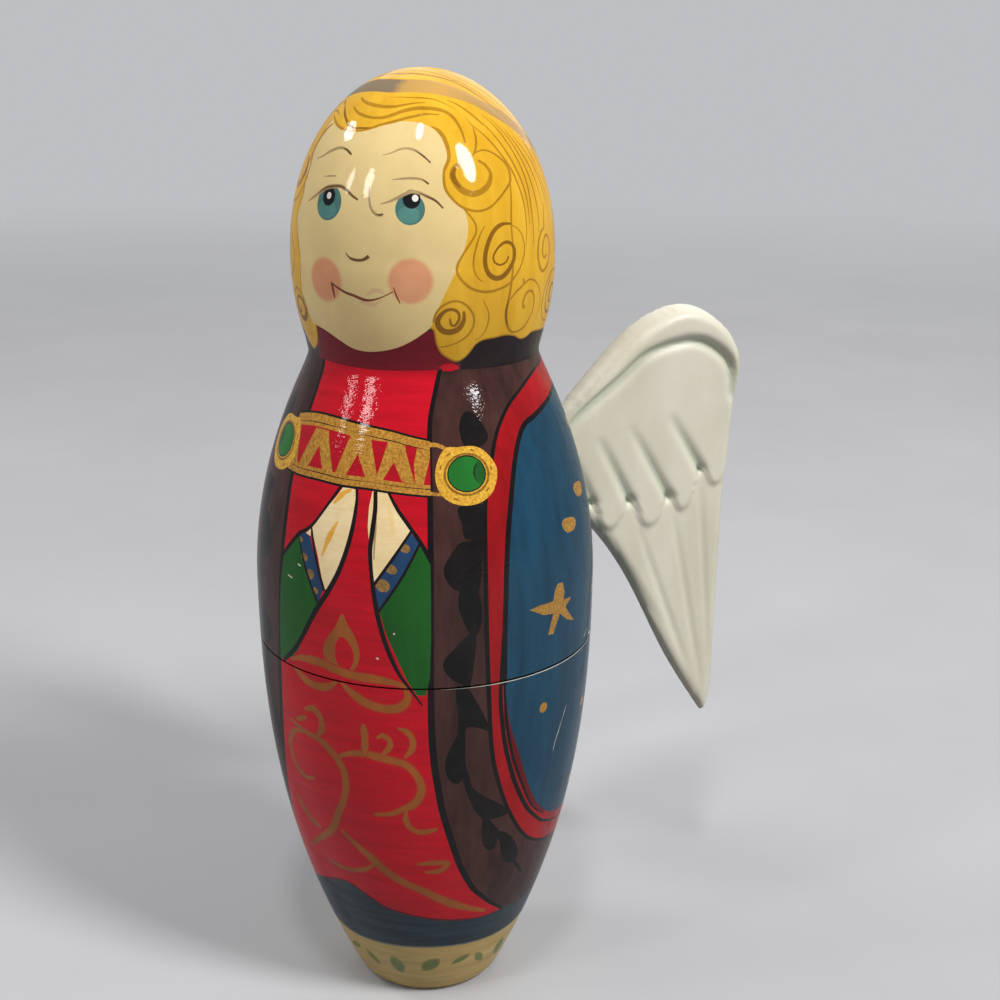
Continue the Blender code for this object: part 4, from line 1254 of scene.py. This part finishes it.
class Doll:
    """One doll of the set, in millimetres above its own foot."""

    def __init__(self, name, lower, upper, step, wall=0.0, floor=0.0, crown=0.0, spigot_wall=0.0,
                 spigot_length=0.0):
        self.name = name
        self.step = step
        self.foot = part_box(lower)[0].z / MM
        self.scale = (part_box(upper)[1].z / MM - self.foot) / HEIGHT
        self.wall = wall
        self.floor = floor
        self.cavity_top = HEIGHT * self.scale - crown
        self.seam = SEAM_HEIGHT * self.scale
        self.neck = NECK_HEIGHT * self.scale
        self.bore = float(outside_radius(SEAM_HEIGHT)) * self.scale - wall
        self.spigot = self.bore + spigot_wall
        self.spigot_top = self.seam + spigot_length

    def spot(self, angle, height):
        """A point on the outside, in metres in the frame, from degrees and the outermost doll's height."""
        turn = math.radians(angle)
        radius = float(outside_radius(height)) * self.scale * MM
        return (radius * math.sin(turn), -radius * math.cos(turn), (height * self.scale + self.foot) * MM)

    def top(self):
        """The middle of the crown: one (radius, height)."""
        return [(0.0, HEIGHT * self.scale)]

    def hollow_radius(self, z):
        return np.minimum(self.bore, outside_radius(z / self.scale) * self.scale - self.wall)

    def lower_lining(self):
        """From the seam over the spigot and down to the middle of the floor: (radius, height)."""
        # The ledge and the foot of the spigot are painted black, as painted shade in the seam's gap
        shade_top = self.seam + SEAM_SHADE * self.scale
        rows = [(self.spigot, self.seam), (self.spigot, shade_top), (self.spigot, self.spigot_top)]
        rows.append((self.bore, self.spigot_top))
        for z in np.linspace(self.seam, self.floor, LOWER_RINGS):
            rows.append((float(self.hollow_radius(z)), float(z)))
        return rows + [(0.0, self.floor)]

    def upper_lining(self):
        """From the rim up the socket and the hollow to its top: (radius, height)."""
        socket = self.spigot + FIT_GAP
        top = self.spigot_top + FIT_GAP
        rows = [(socket, self.seam + FIT_GAP), (socket, top)]
        for z in np.linspace(top, self.neck, UPPER_RINGS):
            rows.append((float(self.hollow_radius(z)), float(z)))
        widest = rows[-1][0]
        rise = self.cavity_top - self.neck
        for turn in np.linspace(0.0, math.pi / 2, DOME_RINGS)[1:-1]:
            rows.append((widest * math.cos(turn), self.neck + rise * math.sin(turn)))
        return rows + [(0.0, self.cavity_top)]


def cut_sheet(shapes, low, high, cell):
    """The sheet between two lengths, cut along every shape on it: points, triangles and their paints."""
    rows = np.linspace(low, high, max(LEAST_ROWS, round((high - low) / cell)))

    def columns(length):
        girth = 2 * math.pi * float(along_profile(length, PROFILE_R))
        return np.linspace(-SHEET_HALF, SHEET_HALF, max(LEAST_COLUMNS, round(girth / cell)) + 1)

    points = [(x, low) for x in columns(low)]
    points += [(SHEET_HALF, y) for y in rows[1:-1]]
    points += [(x, high) for x in columns(high)[::-1]]
    points += [(-SHEET_HALF, y) for y in rows[-2:0:-1]]
    loops = [list(range(len(points)))]
    paints = ["edge"]
    for i, y in enumerate(rows[1:-1]):
        x = columns(y)
        points += [(value, y) for value in x[:-1] + (x[1] - x[0]) * STAGGER[i % 2]]
    for paint, loop in shapes:
        if loop[:, 1].max() > low and loop[:, 1].min() < high:
            loops.append(list(range(len(points), len(points) + len(loop))))
            points += [tuple(point) for point in loop]
            paints.append(paint)
    made = delaunay_2d_cdt([Vector(point) for point in points], [], loops, 0, TOUCH, True)
    corners = np.array([tuple(v) for v in made[0]])
    triangles = []
    chosen = []
    for face, origins in zip(made[2], made[5]):
        if 0 in origins:
            triangles.append(face)
            chosen.append(paints[max(origins)])
    return corners, triangles, chosen


def add_object(name, data):
    """An object in the scene."""
    obj = bpy.data.objects.new(name, data)
    bpy.context.scene.collection.objects.link(obj)
    return obj


def compacted(count, faces):
    """Which of some points the faces use, and the faces with those points alone counted."""
    used = np.zeros(count, bool)
    used[[i for face in faces for i in face]] = True
    fresh = np.cumsum(used) - 1
    return used, [[int(fresh[i]) for i in face] for face in faces]


class Surface:
    """Corners of faces with their normals, map places and paints, gathered into one mesh."""

    def __init__(self):
        self.points = []
        self.faces = []
        self.normals = []
        self.places = []
        self.paints = []

    def face(self, corners, normals, places, paint):
        if len(set(corners)) < len(corners):
            return
        self.faces.append(corners)
        self.normals += normals
        self.places += places
        self.paints.append(paint)

    def build(self, name, paints):
        mesh = bpy.data.meshes.new(name)
        kept, faces = compacted(len(self.points), self.faces)
        mesh.from_pydata([self.points[i] for i in np.flatnonzero(kept)], [], faces)
        used = sorted(set(self.paints))
        for role in used:
            mesh.materials.append(paints[role])
        mesh.polygons.foreach_set("material_index", [used.index(role) for role in self.paints])
        mesh.polygons.foreach_set("use_smooth", [True] * len(self.faces))
        layer = mesh.uv_layers.new(name="OFBake")
        layer.data.foreach_set("uv", np.array(self.places, np.float32).ravel())
        mesh.normals_split_custom_set(self.normals)
        mesh.update()
        return add_object(name, mesh)


def segment_normals(rows):
    """Outward normals at both ends of every stretch of a lining, eased at shallow corners."""
    rows = np.array(rows)
    run = np.diff(rows, axis=0)
    flat = np.column_stack([run[:, 1], -run[:, 0]])
    flat /= np.maximum(np.hypot(flat[:, 0], flat[:, 1]), TINY)[:, None]
    ends = np.stack([flat, flat], axis=1)
    for i in range(len(flat) - 1):
        if flat[i] @ flat[i + 1] > EASED_CORNER:
            mean = flat[i] + flat[i + 1]
            ends[i, 1] = ends[i + 1, 0] = mean / np.hypot(*mean)
    return ends


def turn_normal(normal, angle):
    return (normal[0] * math.sin(angle), -normal[0] * math.cos(angle), normal[1])


def map_across(x):
    """Place across the map of sheet places; the front of the doll has more of the map than its back."""
    share = x / SHEET_HALF
    return 0.5 + 0.5 * share * (FRONT_SHARE - (FRONT_SHARE - 1.0) * np.abs(share))


def painted_half(name, doll, shapes, paints, low, high, below, above, below_paints, above_paints):
    """A closed piece: the painted sheet between two lengths, and linings that continue from its two ends."""
    corners, triangles, chosen = cut_sheet(shapes, low, high, CELL * doll.step / FINEST_STEP ** 0.5)
    surface = Surface()
    x = corners[:, 0]
    s = corners[:, 1]
    angle = np.radians(x / PER_DEGREE)
    r = along_profile(s, PROFILE_R) * doll.scale
    z = along_profile(s, PROFILE_Z) * doll.scale
    n_r = along_profile(s, NORMAL_R)
    n_z = along_profile(s, NORMAL_Z)
    spots = np.column_stack([r * np.sin(angle), -r * np.cos(angle), z + doll.foot]) * MM
    normals = np.column_stack([n_r * np.sin(angle), -n_r * np.cos(angle), n_z])
    places = np.column_stack([
        map_across(x),
        LINING_SHARE + (1.0 - LINING_SHARE) * (s - low) / (high - low),
    ])
    surface.points = [tuple(spot) for spot in spots]
    joined = np.arange(len(corners))
    used = np.isin(joined, triangles)
    left = np.flatnonzero(used & (np.abs(x + SHEET_HALF) < TOUCH))
    for right in np.flatnonzero(used & (np.abs(x - SHEET_HALF) < TOUCH)):
        joined[right] = left[np.argmin(np.abs(s[left] - s[right]))]
    for face, paint in zip(triangles, chosen):
        surface.face([int(joined[i]) for i in face], [tuple(normals[i]) for i in face],
                     [tuple(places[i]) for i in face], paint)
    ends = ((low, below, below_paints, LOW_BAND), (high, above, above_paints, HIGH_BAND))
    for end, rows, lining, band in ends:
        brim = np.flatnonzero(used & (np.abs(s - end) < TOUCH))
        brim = brim[np.argsort(x[brim])]
        line_surface(surface, doll, brim, joined, x, rows, lining, band, end == high)
    return surface.build(name, paints)


def line_surface(surface, doll, brim, joined, x, rows, paints, band, upward):
    """Rings of faces from the sheet's end along a lining to the axis; the last paint goes on to the end."""
    start = surface.points[brim[0]]
    rows = [(math.hypot(start[0], start[1]) / MM, start[2] / MM - doll.foot)] + list(rows)
    ends = segment_normals(rows if upward else rows[::-1])
    ends = ends if upward else ends[::-1, ::-1]
    length = np.concatenate([[0.0], np.cumsum(np.hypot(*np.diff(np.array(rows), axis=0).T))])
    v = band[0] + band[1] * length / length[-1]
    turn = np.radians(x[brim] / PER_DEGREE)
    u = map_across(x[brim])
    current = [int(joined[i]) for i in brim]
    count = len(brim) - 1
    for k in range(1, len(rows)):
        radius, height = rows[k]
        if radius > 0:
            following = []
            for i in range(count):
                following.append(len(surface.points))
                spot = (radius * math.sin(turn[i]), -radius * math.cos(turn[i]), height + doll.foot)
                surface.points.append(tuple(value * MM for value in spot))
            following.append(following[0])
        else:
            pole = len(surface.points)
            surface.points.append((0.0, 0.0, (height + doll.foot) * MM))
            following = [pole] * (count + 1)
        near, far = ends[k - 1]
        for i in range(count):
            j = i + 1
            quad = [(current[i], turn[i], near, u[i], v[k - 1]), (current[j], turn[j], near, u[j], v[k - 1]),
                    (following[j], turn[j], far, u[j], v[k]), (following[i], turn[i], far, u[i], v[k])]
            if radius == 0:
                quad = quad[:3]
            if not upward:
                quad = quad[::-1]
            surface.face([q[0] for q in quad], [turn_normal(q[2], q[1]) for q in quad],
                         [(q[3], q[4]) for q in quad], paints[min(k, len(paints)) - 1])
        current = following


def finish_piece(obj, node, body):
    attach(obj, body)
    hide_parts(node)


def make_dolls():
    crown_end = float(PROFILE_S[-1]) - POLE_RADIUS
    seam = float(length_at(SEAM_HEIGHT))
    base = [(0.0, 0.0)]
    for name, wall, floor, crown, spigot_wall, spigot_length, step in SHELLS:
        lower = f"{name}_lower_half"
        upper = f"{name}_upper_half"
        doll = Doll(name, lower, upper, step, wall, floor, crown, spigot_wall, spigot_length)
        shapes = dress(step)
        paints = palette(doll)
        rim = float(length_at(SEAM_HEIGHT + FIT_GAP / doll.scale))
        # The lower half's ledge and the foot of its spigot get black paint: painted shade in the seam
        half = painted_half(f"{name}_lower_shell", doll, shapes, paints, 0.0, seam,
                            base, doll.lower_lining(), ("wood",), ("line", "line", "wood"))
        finish_piece(half, lower, f"{name}_lower")
        half = painted_half(f"{name}_upper_shell", doll, shapes, paints, rim, crown_end,
                            doll.upper_lining(), doll.top(), ("wood",), ("hair",))
        finish_piece(half, upper, f"{name}_upper")
    doll = Doll("innermost", "innermost_doll", "innermost_doll", INNERMOST_STEP)
    solid = painted_half("innermost_figure", doll, dress(INNERMOST_STEP), palette(doll), 0.0, crown_end,
                         base, doll.top(), ("wood",), ("hair",))
    finish_piece(solid, "innermost_doll", "innermost")


# Wings

# Free edge of a wing, as shares of its reach and of its rise or drop
WING_OUTLINE = (
    (0.24, 0.65), (0.44, 0.89), (0.66, 1.0), (0.86, 0.90), (0.985, 0.66), (0.975, 0.3), (0.955, -0.14),
    (0.95, -0.5), (0.945, -0.86), (0.925, -0.97), (0.90, -1.0), (0.86, -0.97), (0.66, -0.75), (0.41, -0.42),
    (0.20, -0.225),
)
RIM_GROOVE = [
    (-6.0, 0.5), (0.0, 6.2), (5.8, 11.6), (13.6, 17.5), (19.8, 22.2), (28.5, 24.2), (34.0, 22.8),
    (38.6, 18.6), (40.0, 12.0),
]
COVERT_EDGE = [
    (43.0, 2.0), (39.5, -6.0), (36.5, -7.4), (33.6, -3.2), (31.6, -10.6), (29.0, -12.4), (26.4, -8.0),
    (23.6, -14.2), (20.6, -14.6), (17.4, -8.2), (14.2, -14.0), (11.2, -14.2), (8.4, -8.0), (5.0, -11.6),
    (2.0, -11.6), (-4.0, -6.0),
]
GOUGES = (
    ((25.2, 9.0), (33.6, -3.8)),
    ((16.0, 7.5), (26.4, -9.4)),
    ((8.8, 5.8), (17.2, -9.2)),
    ((2.6, 2.6), (8.4, -8.6)),
)
QUILLS = (
    ((33.8, -6.0), (38.6, -50.0)), ((28.0, -14.0), (36.8, -54.0)), ((20.0, -16.5), (33.0, -49.0)),
    ((12.5, -16.0), (26.0, -38.0)),
)


def root_reach(height, depth):
    """Reach at which the wing meets the body, for heights above the root and depths across the blade."""
    root = float(outside_radius(WING_ROOT_HEIGHT))
    radius = outside_radius(WING_ROOT_HEIGHT + height) + FIT_GAP
    inward = WING_SWEEP - (WING_PLACE - math.pi / 2)
    along = root * math.cos(inward)
    across = root * math.sin(inward) + depth
    return np.sqrt(radius ** 2 - across ** 2) - along


def away_from(points, path):
    """Distance of points from an open path, and the share of the way along it of the nearest place."""
    starts = path[:-1]
    runs = np.diff(path, axis=0)
    squares = (runs ** 2).sum(1)
    offset = points[:, None, :] - starts[None]
    share = np.clip((offset * runs).sum(2) / squares, 0.0, 1.0)
    gap = np.linalg.norm(offset - share[..., None] * runs, axis=2)
    nearest = gap.argmin(1)
    rows = np.arange(len(points))
    return gap[rows, nearest], (nearest + share[rows, nearest]) / len(starts)


def smooth_step(low, high, values):
    t = np.clip((values - low) / (high - low), 0.0, 1.0)
    return t * t * (3.0 - 2.0 * t)


def height_under(points, x):
    """Height at given reaches of a curve through some points."""
    path = curve(points, CARVE_STEP)
    order = np.argsort(path[:, 0])
    return np.interp(x, path[order, 0], path[order, 1])


def carved_depths(points, outline):
    """Front and back heights of the wing off its middle plane, and how deep the carving is, 0 to 1."""
    reach = points[:, 0]
    height = points[:, 1]
    drop = (WING_RISE - height) / (WING_RISE + WING_DROP)
    blade = BLADE_HALF * (1.0 - (1.0 - BLADE_TIP_SHARE) * drop)
    above_groove = height - height_under(RIM_GROOVE, reach)
    from_groove, _ = away_from(points, curve(RIM_GROOVE, CARVE_STEP))
    rim = smooth_step(0.0, RIM_EASE, np.where(above_groove > 0, from_groove, 0.0))
    gully = np.exp(-(from_groove / GULLY_WIDTH) ** 2)
    covert = smooth_step(*COVERT_EASE, height - height_under(COVERT_EDGE, reach))
    swell = np.clip(1.0 - (np.maximum(-above_groove, 0.0) / COVERT_FADE), 0.0, 1.0)
    covert = covert * (1.0 - rim) * (COVERT_LEAST + (1.0 - COVERT_LEAST) * swell)
    depth = GULLY_DEPTH * gully
    for ends in GOUGES:
        gap, share = away_from(points, curve(ends, CARVE_STEP))
        depth = depth + GOUGE_DEPTH * share ** GOUGE_GROWTH * np.exp(-(gap / GOUGE_WIDTH) ** 2)
    quills = np.zeros(len(points))
    for ends in QUILLS:
        gap, share = away_from(points, curve(ends, CARVE_STEP))
        fade = np.sin(math.pi * np.clip(share, *QUILL_ENDS)) ** 0.5
        quills += QUILL_DEPTH * fade * np.exp(-(gap / QUILL_WIDTH) ** 2)
    depth = depth + quills
    front = blade + RIM_RELIEF * rim + COVERT_RELIEF * covert - depth
    back = blade + BACK_RIM_RELIEF * rim - BACK_QUILL_SHARE * quills - BACK_GULLY_DEPTH * gully
    from_edge, _ = away_from(points, outline)
    rounded = np.sqrt(1.0 - (1.0 - np.clip(from_edge / EDGE_ROUND, 0.0, 1.0)) ** 2)
    return front * rounded, back * rounded, np.clip(depth / SHADED_DEPTH, 0.0, 1.0)


def wing_sheet():
    """The wing's flat face: points, triangles, free edge, and which points lie at the root."""
    first = (float(root_reach(ROOT_TOP, 0.0)), ROOT_TOP)
    last = (float(root_reach(ROOT_BOTTOM, 0.0)), ROOT_BOTTOM)
    edge = [(x * WING_REACH, y * (WING_RISE if y > 0 else WING_DROP)) for x, y in WING_OUTLINE]
    free = curve([first] + edge + [last], WING_CELL)
    heights = np.linspace(ROOT_BOTTOM, ROOT_TOP, round((ROOT_TOP - ROOT_BOTTOM) / WING_CELL))[1:-1]
    root = np.column_stack([root_reach(heights, 0.0), heights])
    border = np.vstack([free, root])[::-1]
    grid = []
    for i, height in enumerate(np.arange(-WING_DROP, WING_RISE, WING_CELL * ROW_SHARE)):
        for reach in np.arange(-2.0, WING_REACH + 1.0, WING_CELL):
            grid.append((reach + 0.5 * WING_CELL * (i % 2), height))
    grid = np.array(grid)
    clear = away_from(grid, np.vstack([border, border[:1]]))[0] > EDGE_CLEARANCE * WING_CELL
    every = np.vstack([border, grid[clear]])
    loop = [list(range(len(border)))]
    made = delaunay_2d_cdt([Vector(point) for point in every], [], loop, 0, WING_TOUCH, True)
    corners = np.array([tuple(v) for v in made[0]])
    used, triangles = compacted(len(corners), [face for face, origins in zip(made[2], made[5]) if origins])
    corners = corners[used]
    at_root = np.abs(corners[:, 0] - root_reach(corners[:, 1], 0.0)) < NEAR
    at_root &= (corners[:, 1] < ROOT_TOP + NEAR) & (corners[:, 1] > ROOT_BOTTOM - NEAR)
    return corners, triangles, free, at_root


def wing_solid():
    """The whole wing about its middle plane: points, faces, and how deep the carving is at each point."""
    corners, triangles, outline, at_root = wing_sheet()
    front, back, carving = carved_depths(corners, outline)
    on_edge = away_from(corners, outline)[0] < NEAR
    count = len(corners)
    height = corners[:, 1]
    middle = root_reach(height, 0.0)
    ease = np.exp(-np.maximum(corners[:, 0] - middle, 0.0) / ROOT_EASE)
    layers = []
    for off in (front, -back):
        reach = corners[:, 0] + ease * (root_reach(height, off) - middle)
        layers.append(np.column_stack([reach, height, off]))
    second = np.where(on_edge, np.arange(count), np.arange(count) + count)
    faces = list(triangles)
    faces += [[int(second[i]) for i in reversed(face)] for face in triangles]
    rows = np.flatnonzero(at_root)
    rows = rows[np.argsort(height[rows])]
    wall = []
    previous = rows
    for level in range(1, ROOT_LEVELS + 1):
        following = []
        for i in rows:
            if on_edge[i] or level == ROOT_LEVELS:
                following.append(second[i])
                continue
            off = front[i] + (-back[i] - front[i]) * level / ROOT_LEVELS
            following.append(2 * count + len(wall))
            wall.append((float(root_reach(height[i], off)), height[i], off))
        for i in range(len(rows) - 1):
            quad = (previous[i], previous[i + 1], following[i + 1], following[i])
            quad = list(dict.fromkeys(int(corner) for corner in quad))
            if len(quad) > 2:
                faces.append(quad)
        previous = following
    points = np.vstack(layers + [np.array(wall)])
    depth = np.concatenate([carving, np.zeros(count + len(wall))])
    used, faces = compacted(len(points), faces)
    return points[used], faces, depth[used]


def make_wing(name, side, solid, material):
    """One wing in its place on the body: side is 1 for the doll's left and -1 for its right."""
    points, faces, depth = solid
    if side < 0:
        faces = [face[::-1] for face in faces]
    mesh = bpy.data.meshes.new(name)
    mesh.from_pydata((points * (1.0, 1.0, side) * MM).tolist(), [], faces)
    mesh.polygons.foreach_set("use_smooth", [True] * len(mesh.polygons))
    layer = mesh.attributes.new("carving", "FLOAT", "POINT")
    layer.data.foreach_set("value", depth.astype(np.float32))
    mesh.materials.append(material)
    radius = float(outside_radius(WING_ROOT_HEIGHT))
    root = (side * radius * math.sin(WING_PLACE), -radius * math.cos(WING_PLACE), WING_ROOT_HEIGHT)
    reach = Vector((side * math.cos(WING_SWEEP), math.sin(WING_SWEEP), 0.0))
    up = Vector((0.0, 0.0, 1.0))
    place = Matrix((reach, up, reach.cross(up))).transposed().to_4x4()
    place.translation = Vector(root) * MM
    mesh.transform(place)
    mesh.update()
    return add_object(name, mesh)


def make_wings():
    material = wing_paint("wing_white")
    solid = wing_solid()
    for hand, side in (("left", 1), ("right", -1)):
        wing = make_wing(f"{hand}_carved_wing", side, solid, material)
        finish_piece(wing, f"{hand}_wing", "outer_upper")
        for level in ("upper", "lower"):
            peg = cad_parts[f"{hand}_wing_{level}_dowel"]
            peg.data.materials.clear()
            peg.data.materials.append(WOOD)


# Studio

def look_from(azimuth, elevation, distance):
    """A place round the doll; azimuth counts from the camera's side."""
    turn = math.radians(azimuth) + CAMERA_AZIMUTH
    rise = math.radians(elevation)
    spot = (math.sin(turn) * math.cos(rise), -math.cos(turn) * math.cos(rise), math.sin(rise))
    return Vector(spot) * distance + AIM


def softbox(name, azimuth, elevation, distance, size, power):
    lamp = bpy.data.lights.new(name, "AREA")
    lamp.shape = "ELLIPSE"
    lamp.size, lamp.size_y = size
    lamp.energy = power
    obj = add_object(name, lamp)
    obj.location = look_from(azimuth, elevation, distance)
    obj.rotation_euler = (AIM - obj.location).to_track_quat("-Z", "Y").to_euler()


def make_studio():
    for lamp in LAMPS:
        softbox(*lamp)
    make_backdrop()
    make_floor()


def seen_or_mirrored(tree):
    """1 for rays from the camera, from a mirroring surface or through a clear one, and 0 for others."""
    path = add_node(tree, "ShaderNodeLightPath")
    either = path.outputs["Is Camera Ray"]
    for other in ("Is Glossy Ray", "Is Transmission Ray"):
        most = add_node(tree, "ShaderNodeMath", {0: either, 1: path.outputs[other]}, operation="MAXIMUM")
        either = most.outputs["Value"]
    return either


def make_backdrop():
    """Soft light from all round; the same world is pale grey where it is seen or mirrored."""
    world = bpy.data.worlds.new("studio")
    world.use_nodes = True
    tree = world.node_tree
    light = tree.nodes["Background"]
    feed(tree, light, {"Color": srgb(*SKY), "Strength": SKY_STRENGTH})
    shown = add_node(tree, "ShaderNodeBackground", {"Color": srgb(*BACKDROP), "Strength": 1.0})
    choice = add_node(tree, "ShaderNodeMixShader", {
        "Fac": seen_or_mirrored(tree), 1: light.outputs["Background"], 2: shown.outputs["Background"],
    })
    feed(tree, tree.nodes["World Output"], {"Surface": choice.outputs["Shader"]})
    bpy.context.scene.world = world


def make_floor():
    """A pale round floor that fades into the backdrop and throws little light back up at the doll."""
    rim = []
    for i in range(FLOOR_SIDES):
        turn = 2 * math.pi * i / FLOOR_SIDES
        rim.append((FLOOR_RADIUS * math.sin(turn), -FLOOR_RADIUS * math.cos(turn), 0.0))
    mesh = bpy.data.meshes.new("floor")
    mesh.from_pydata(rim, [], [list(range(FLOOR_SIDES))])
    material, tree, shader = new_material("floor")
    clouds = noise(tree, FLOOR_CLOUDS)
    tone = add_node(tree, "ShaderNodeMix", {
        "Factor": seen_or_mirrored(tree),
        "A": ramp(tree, clouds, ((0.3, FLOOR_LIT[0]), (0.7, FLOOR_LIT[1]))),
        "B": ramp(tree, clouds, ((0.3, FLOOR_SEEN[0]), (0.7, FLOOR_SEEN[1]))),
    }, data_type="RGBA")
    feed(tree, shader, {"Base Color": tone.outputs["Result"], "Roughness": FLOOR_ROUGHNESS})
    place = add_node(tree, "ShaderNodeTexCoord")
    away = add_node(tree, "ShaderNodeVectorMath", {0: place.outputs["Object"]}, operation="LENGTH")
    fade = add_node(tree, "ShaderNodeMapRange", {
        "Value": away.outputs["Value"],
        "From Min": FLOOR_FADE[0] * FLOOR_RADIUS, "From Max": FLOOR_FADE[1] * FLOOR_RADIUS,
    }, interpolation_type="SMOOTHSTEP")
    clear = add_node(tree, "ShaderNodeBsdfTransparent")
    blend = add_node(tree, "ShaderNodeMixShader", {
        "Fac": fade.outputs["Result"], 1: shader.outputs["BSDF"], 2: clear.outputs["BSDF"],
    })
    feed(tree, tree.nodes["Material Output"], {"Surface": blend.outputs["Shader"]})
    mesh.materials.append(material)
    floor = add_object("floor", mesh)


def make_camera():
    """A camera where the photograph was taken from."""
    level = math.cos(CAMERA_PITCH)
    ahead = Vector((math.sin(CAMERA_YAW) * level, math.cos(CAMERA_YAW) * level, -math.sin(CAMERA_PITCH)))
    right = Vector((math.cos(CAMERA_YAW), -math.sin(CAMERA_YAW), 0.0))
    up = right.cross(ahead)
    across = math.cos(CAMERA_ROLL) * right + math.sin(CAMERA_ROLL) * up
    upright = math.cos(CAMERA_ROLL) * up - math.sin(CAMERA_ROLL) * right
    place = Matrix((across, upright, -ahead)).transposed().to_4x4()
    place.translation = Vector((0.0, -CAMERA_DISTANCE, CAMERA_HEIGHT)) * MM
    camera = bpy.data.cameras.new("camera")
    camera.lens = LENS
    camera.sensor_width = SENSOR
    camera.clip_start = CLIP_START
    obj = add_object("camera", camera)
    obj.matrix_world = Matrix.Rotation(CAMERA_AZIMUTH, 4, "Z") @ place
    bpy.context.scene.camera = obj


make_camera()
make_studio()
make_dolls()
make_wings()
bpy.context.scene.view_settings.view_transform = "Standard"
bpy.context.view_layer.update()
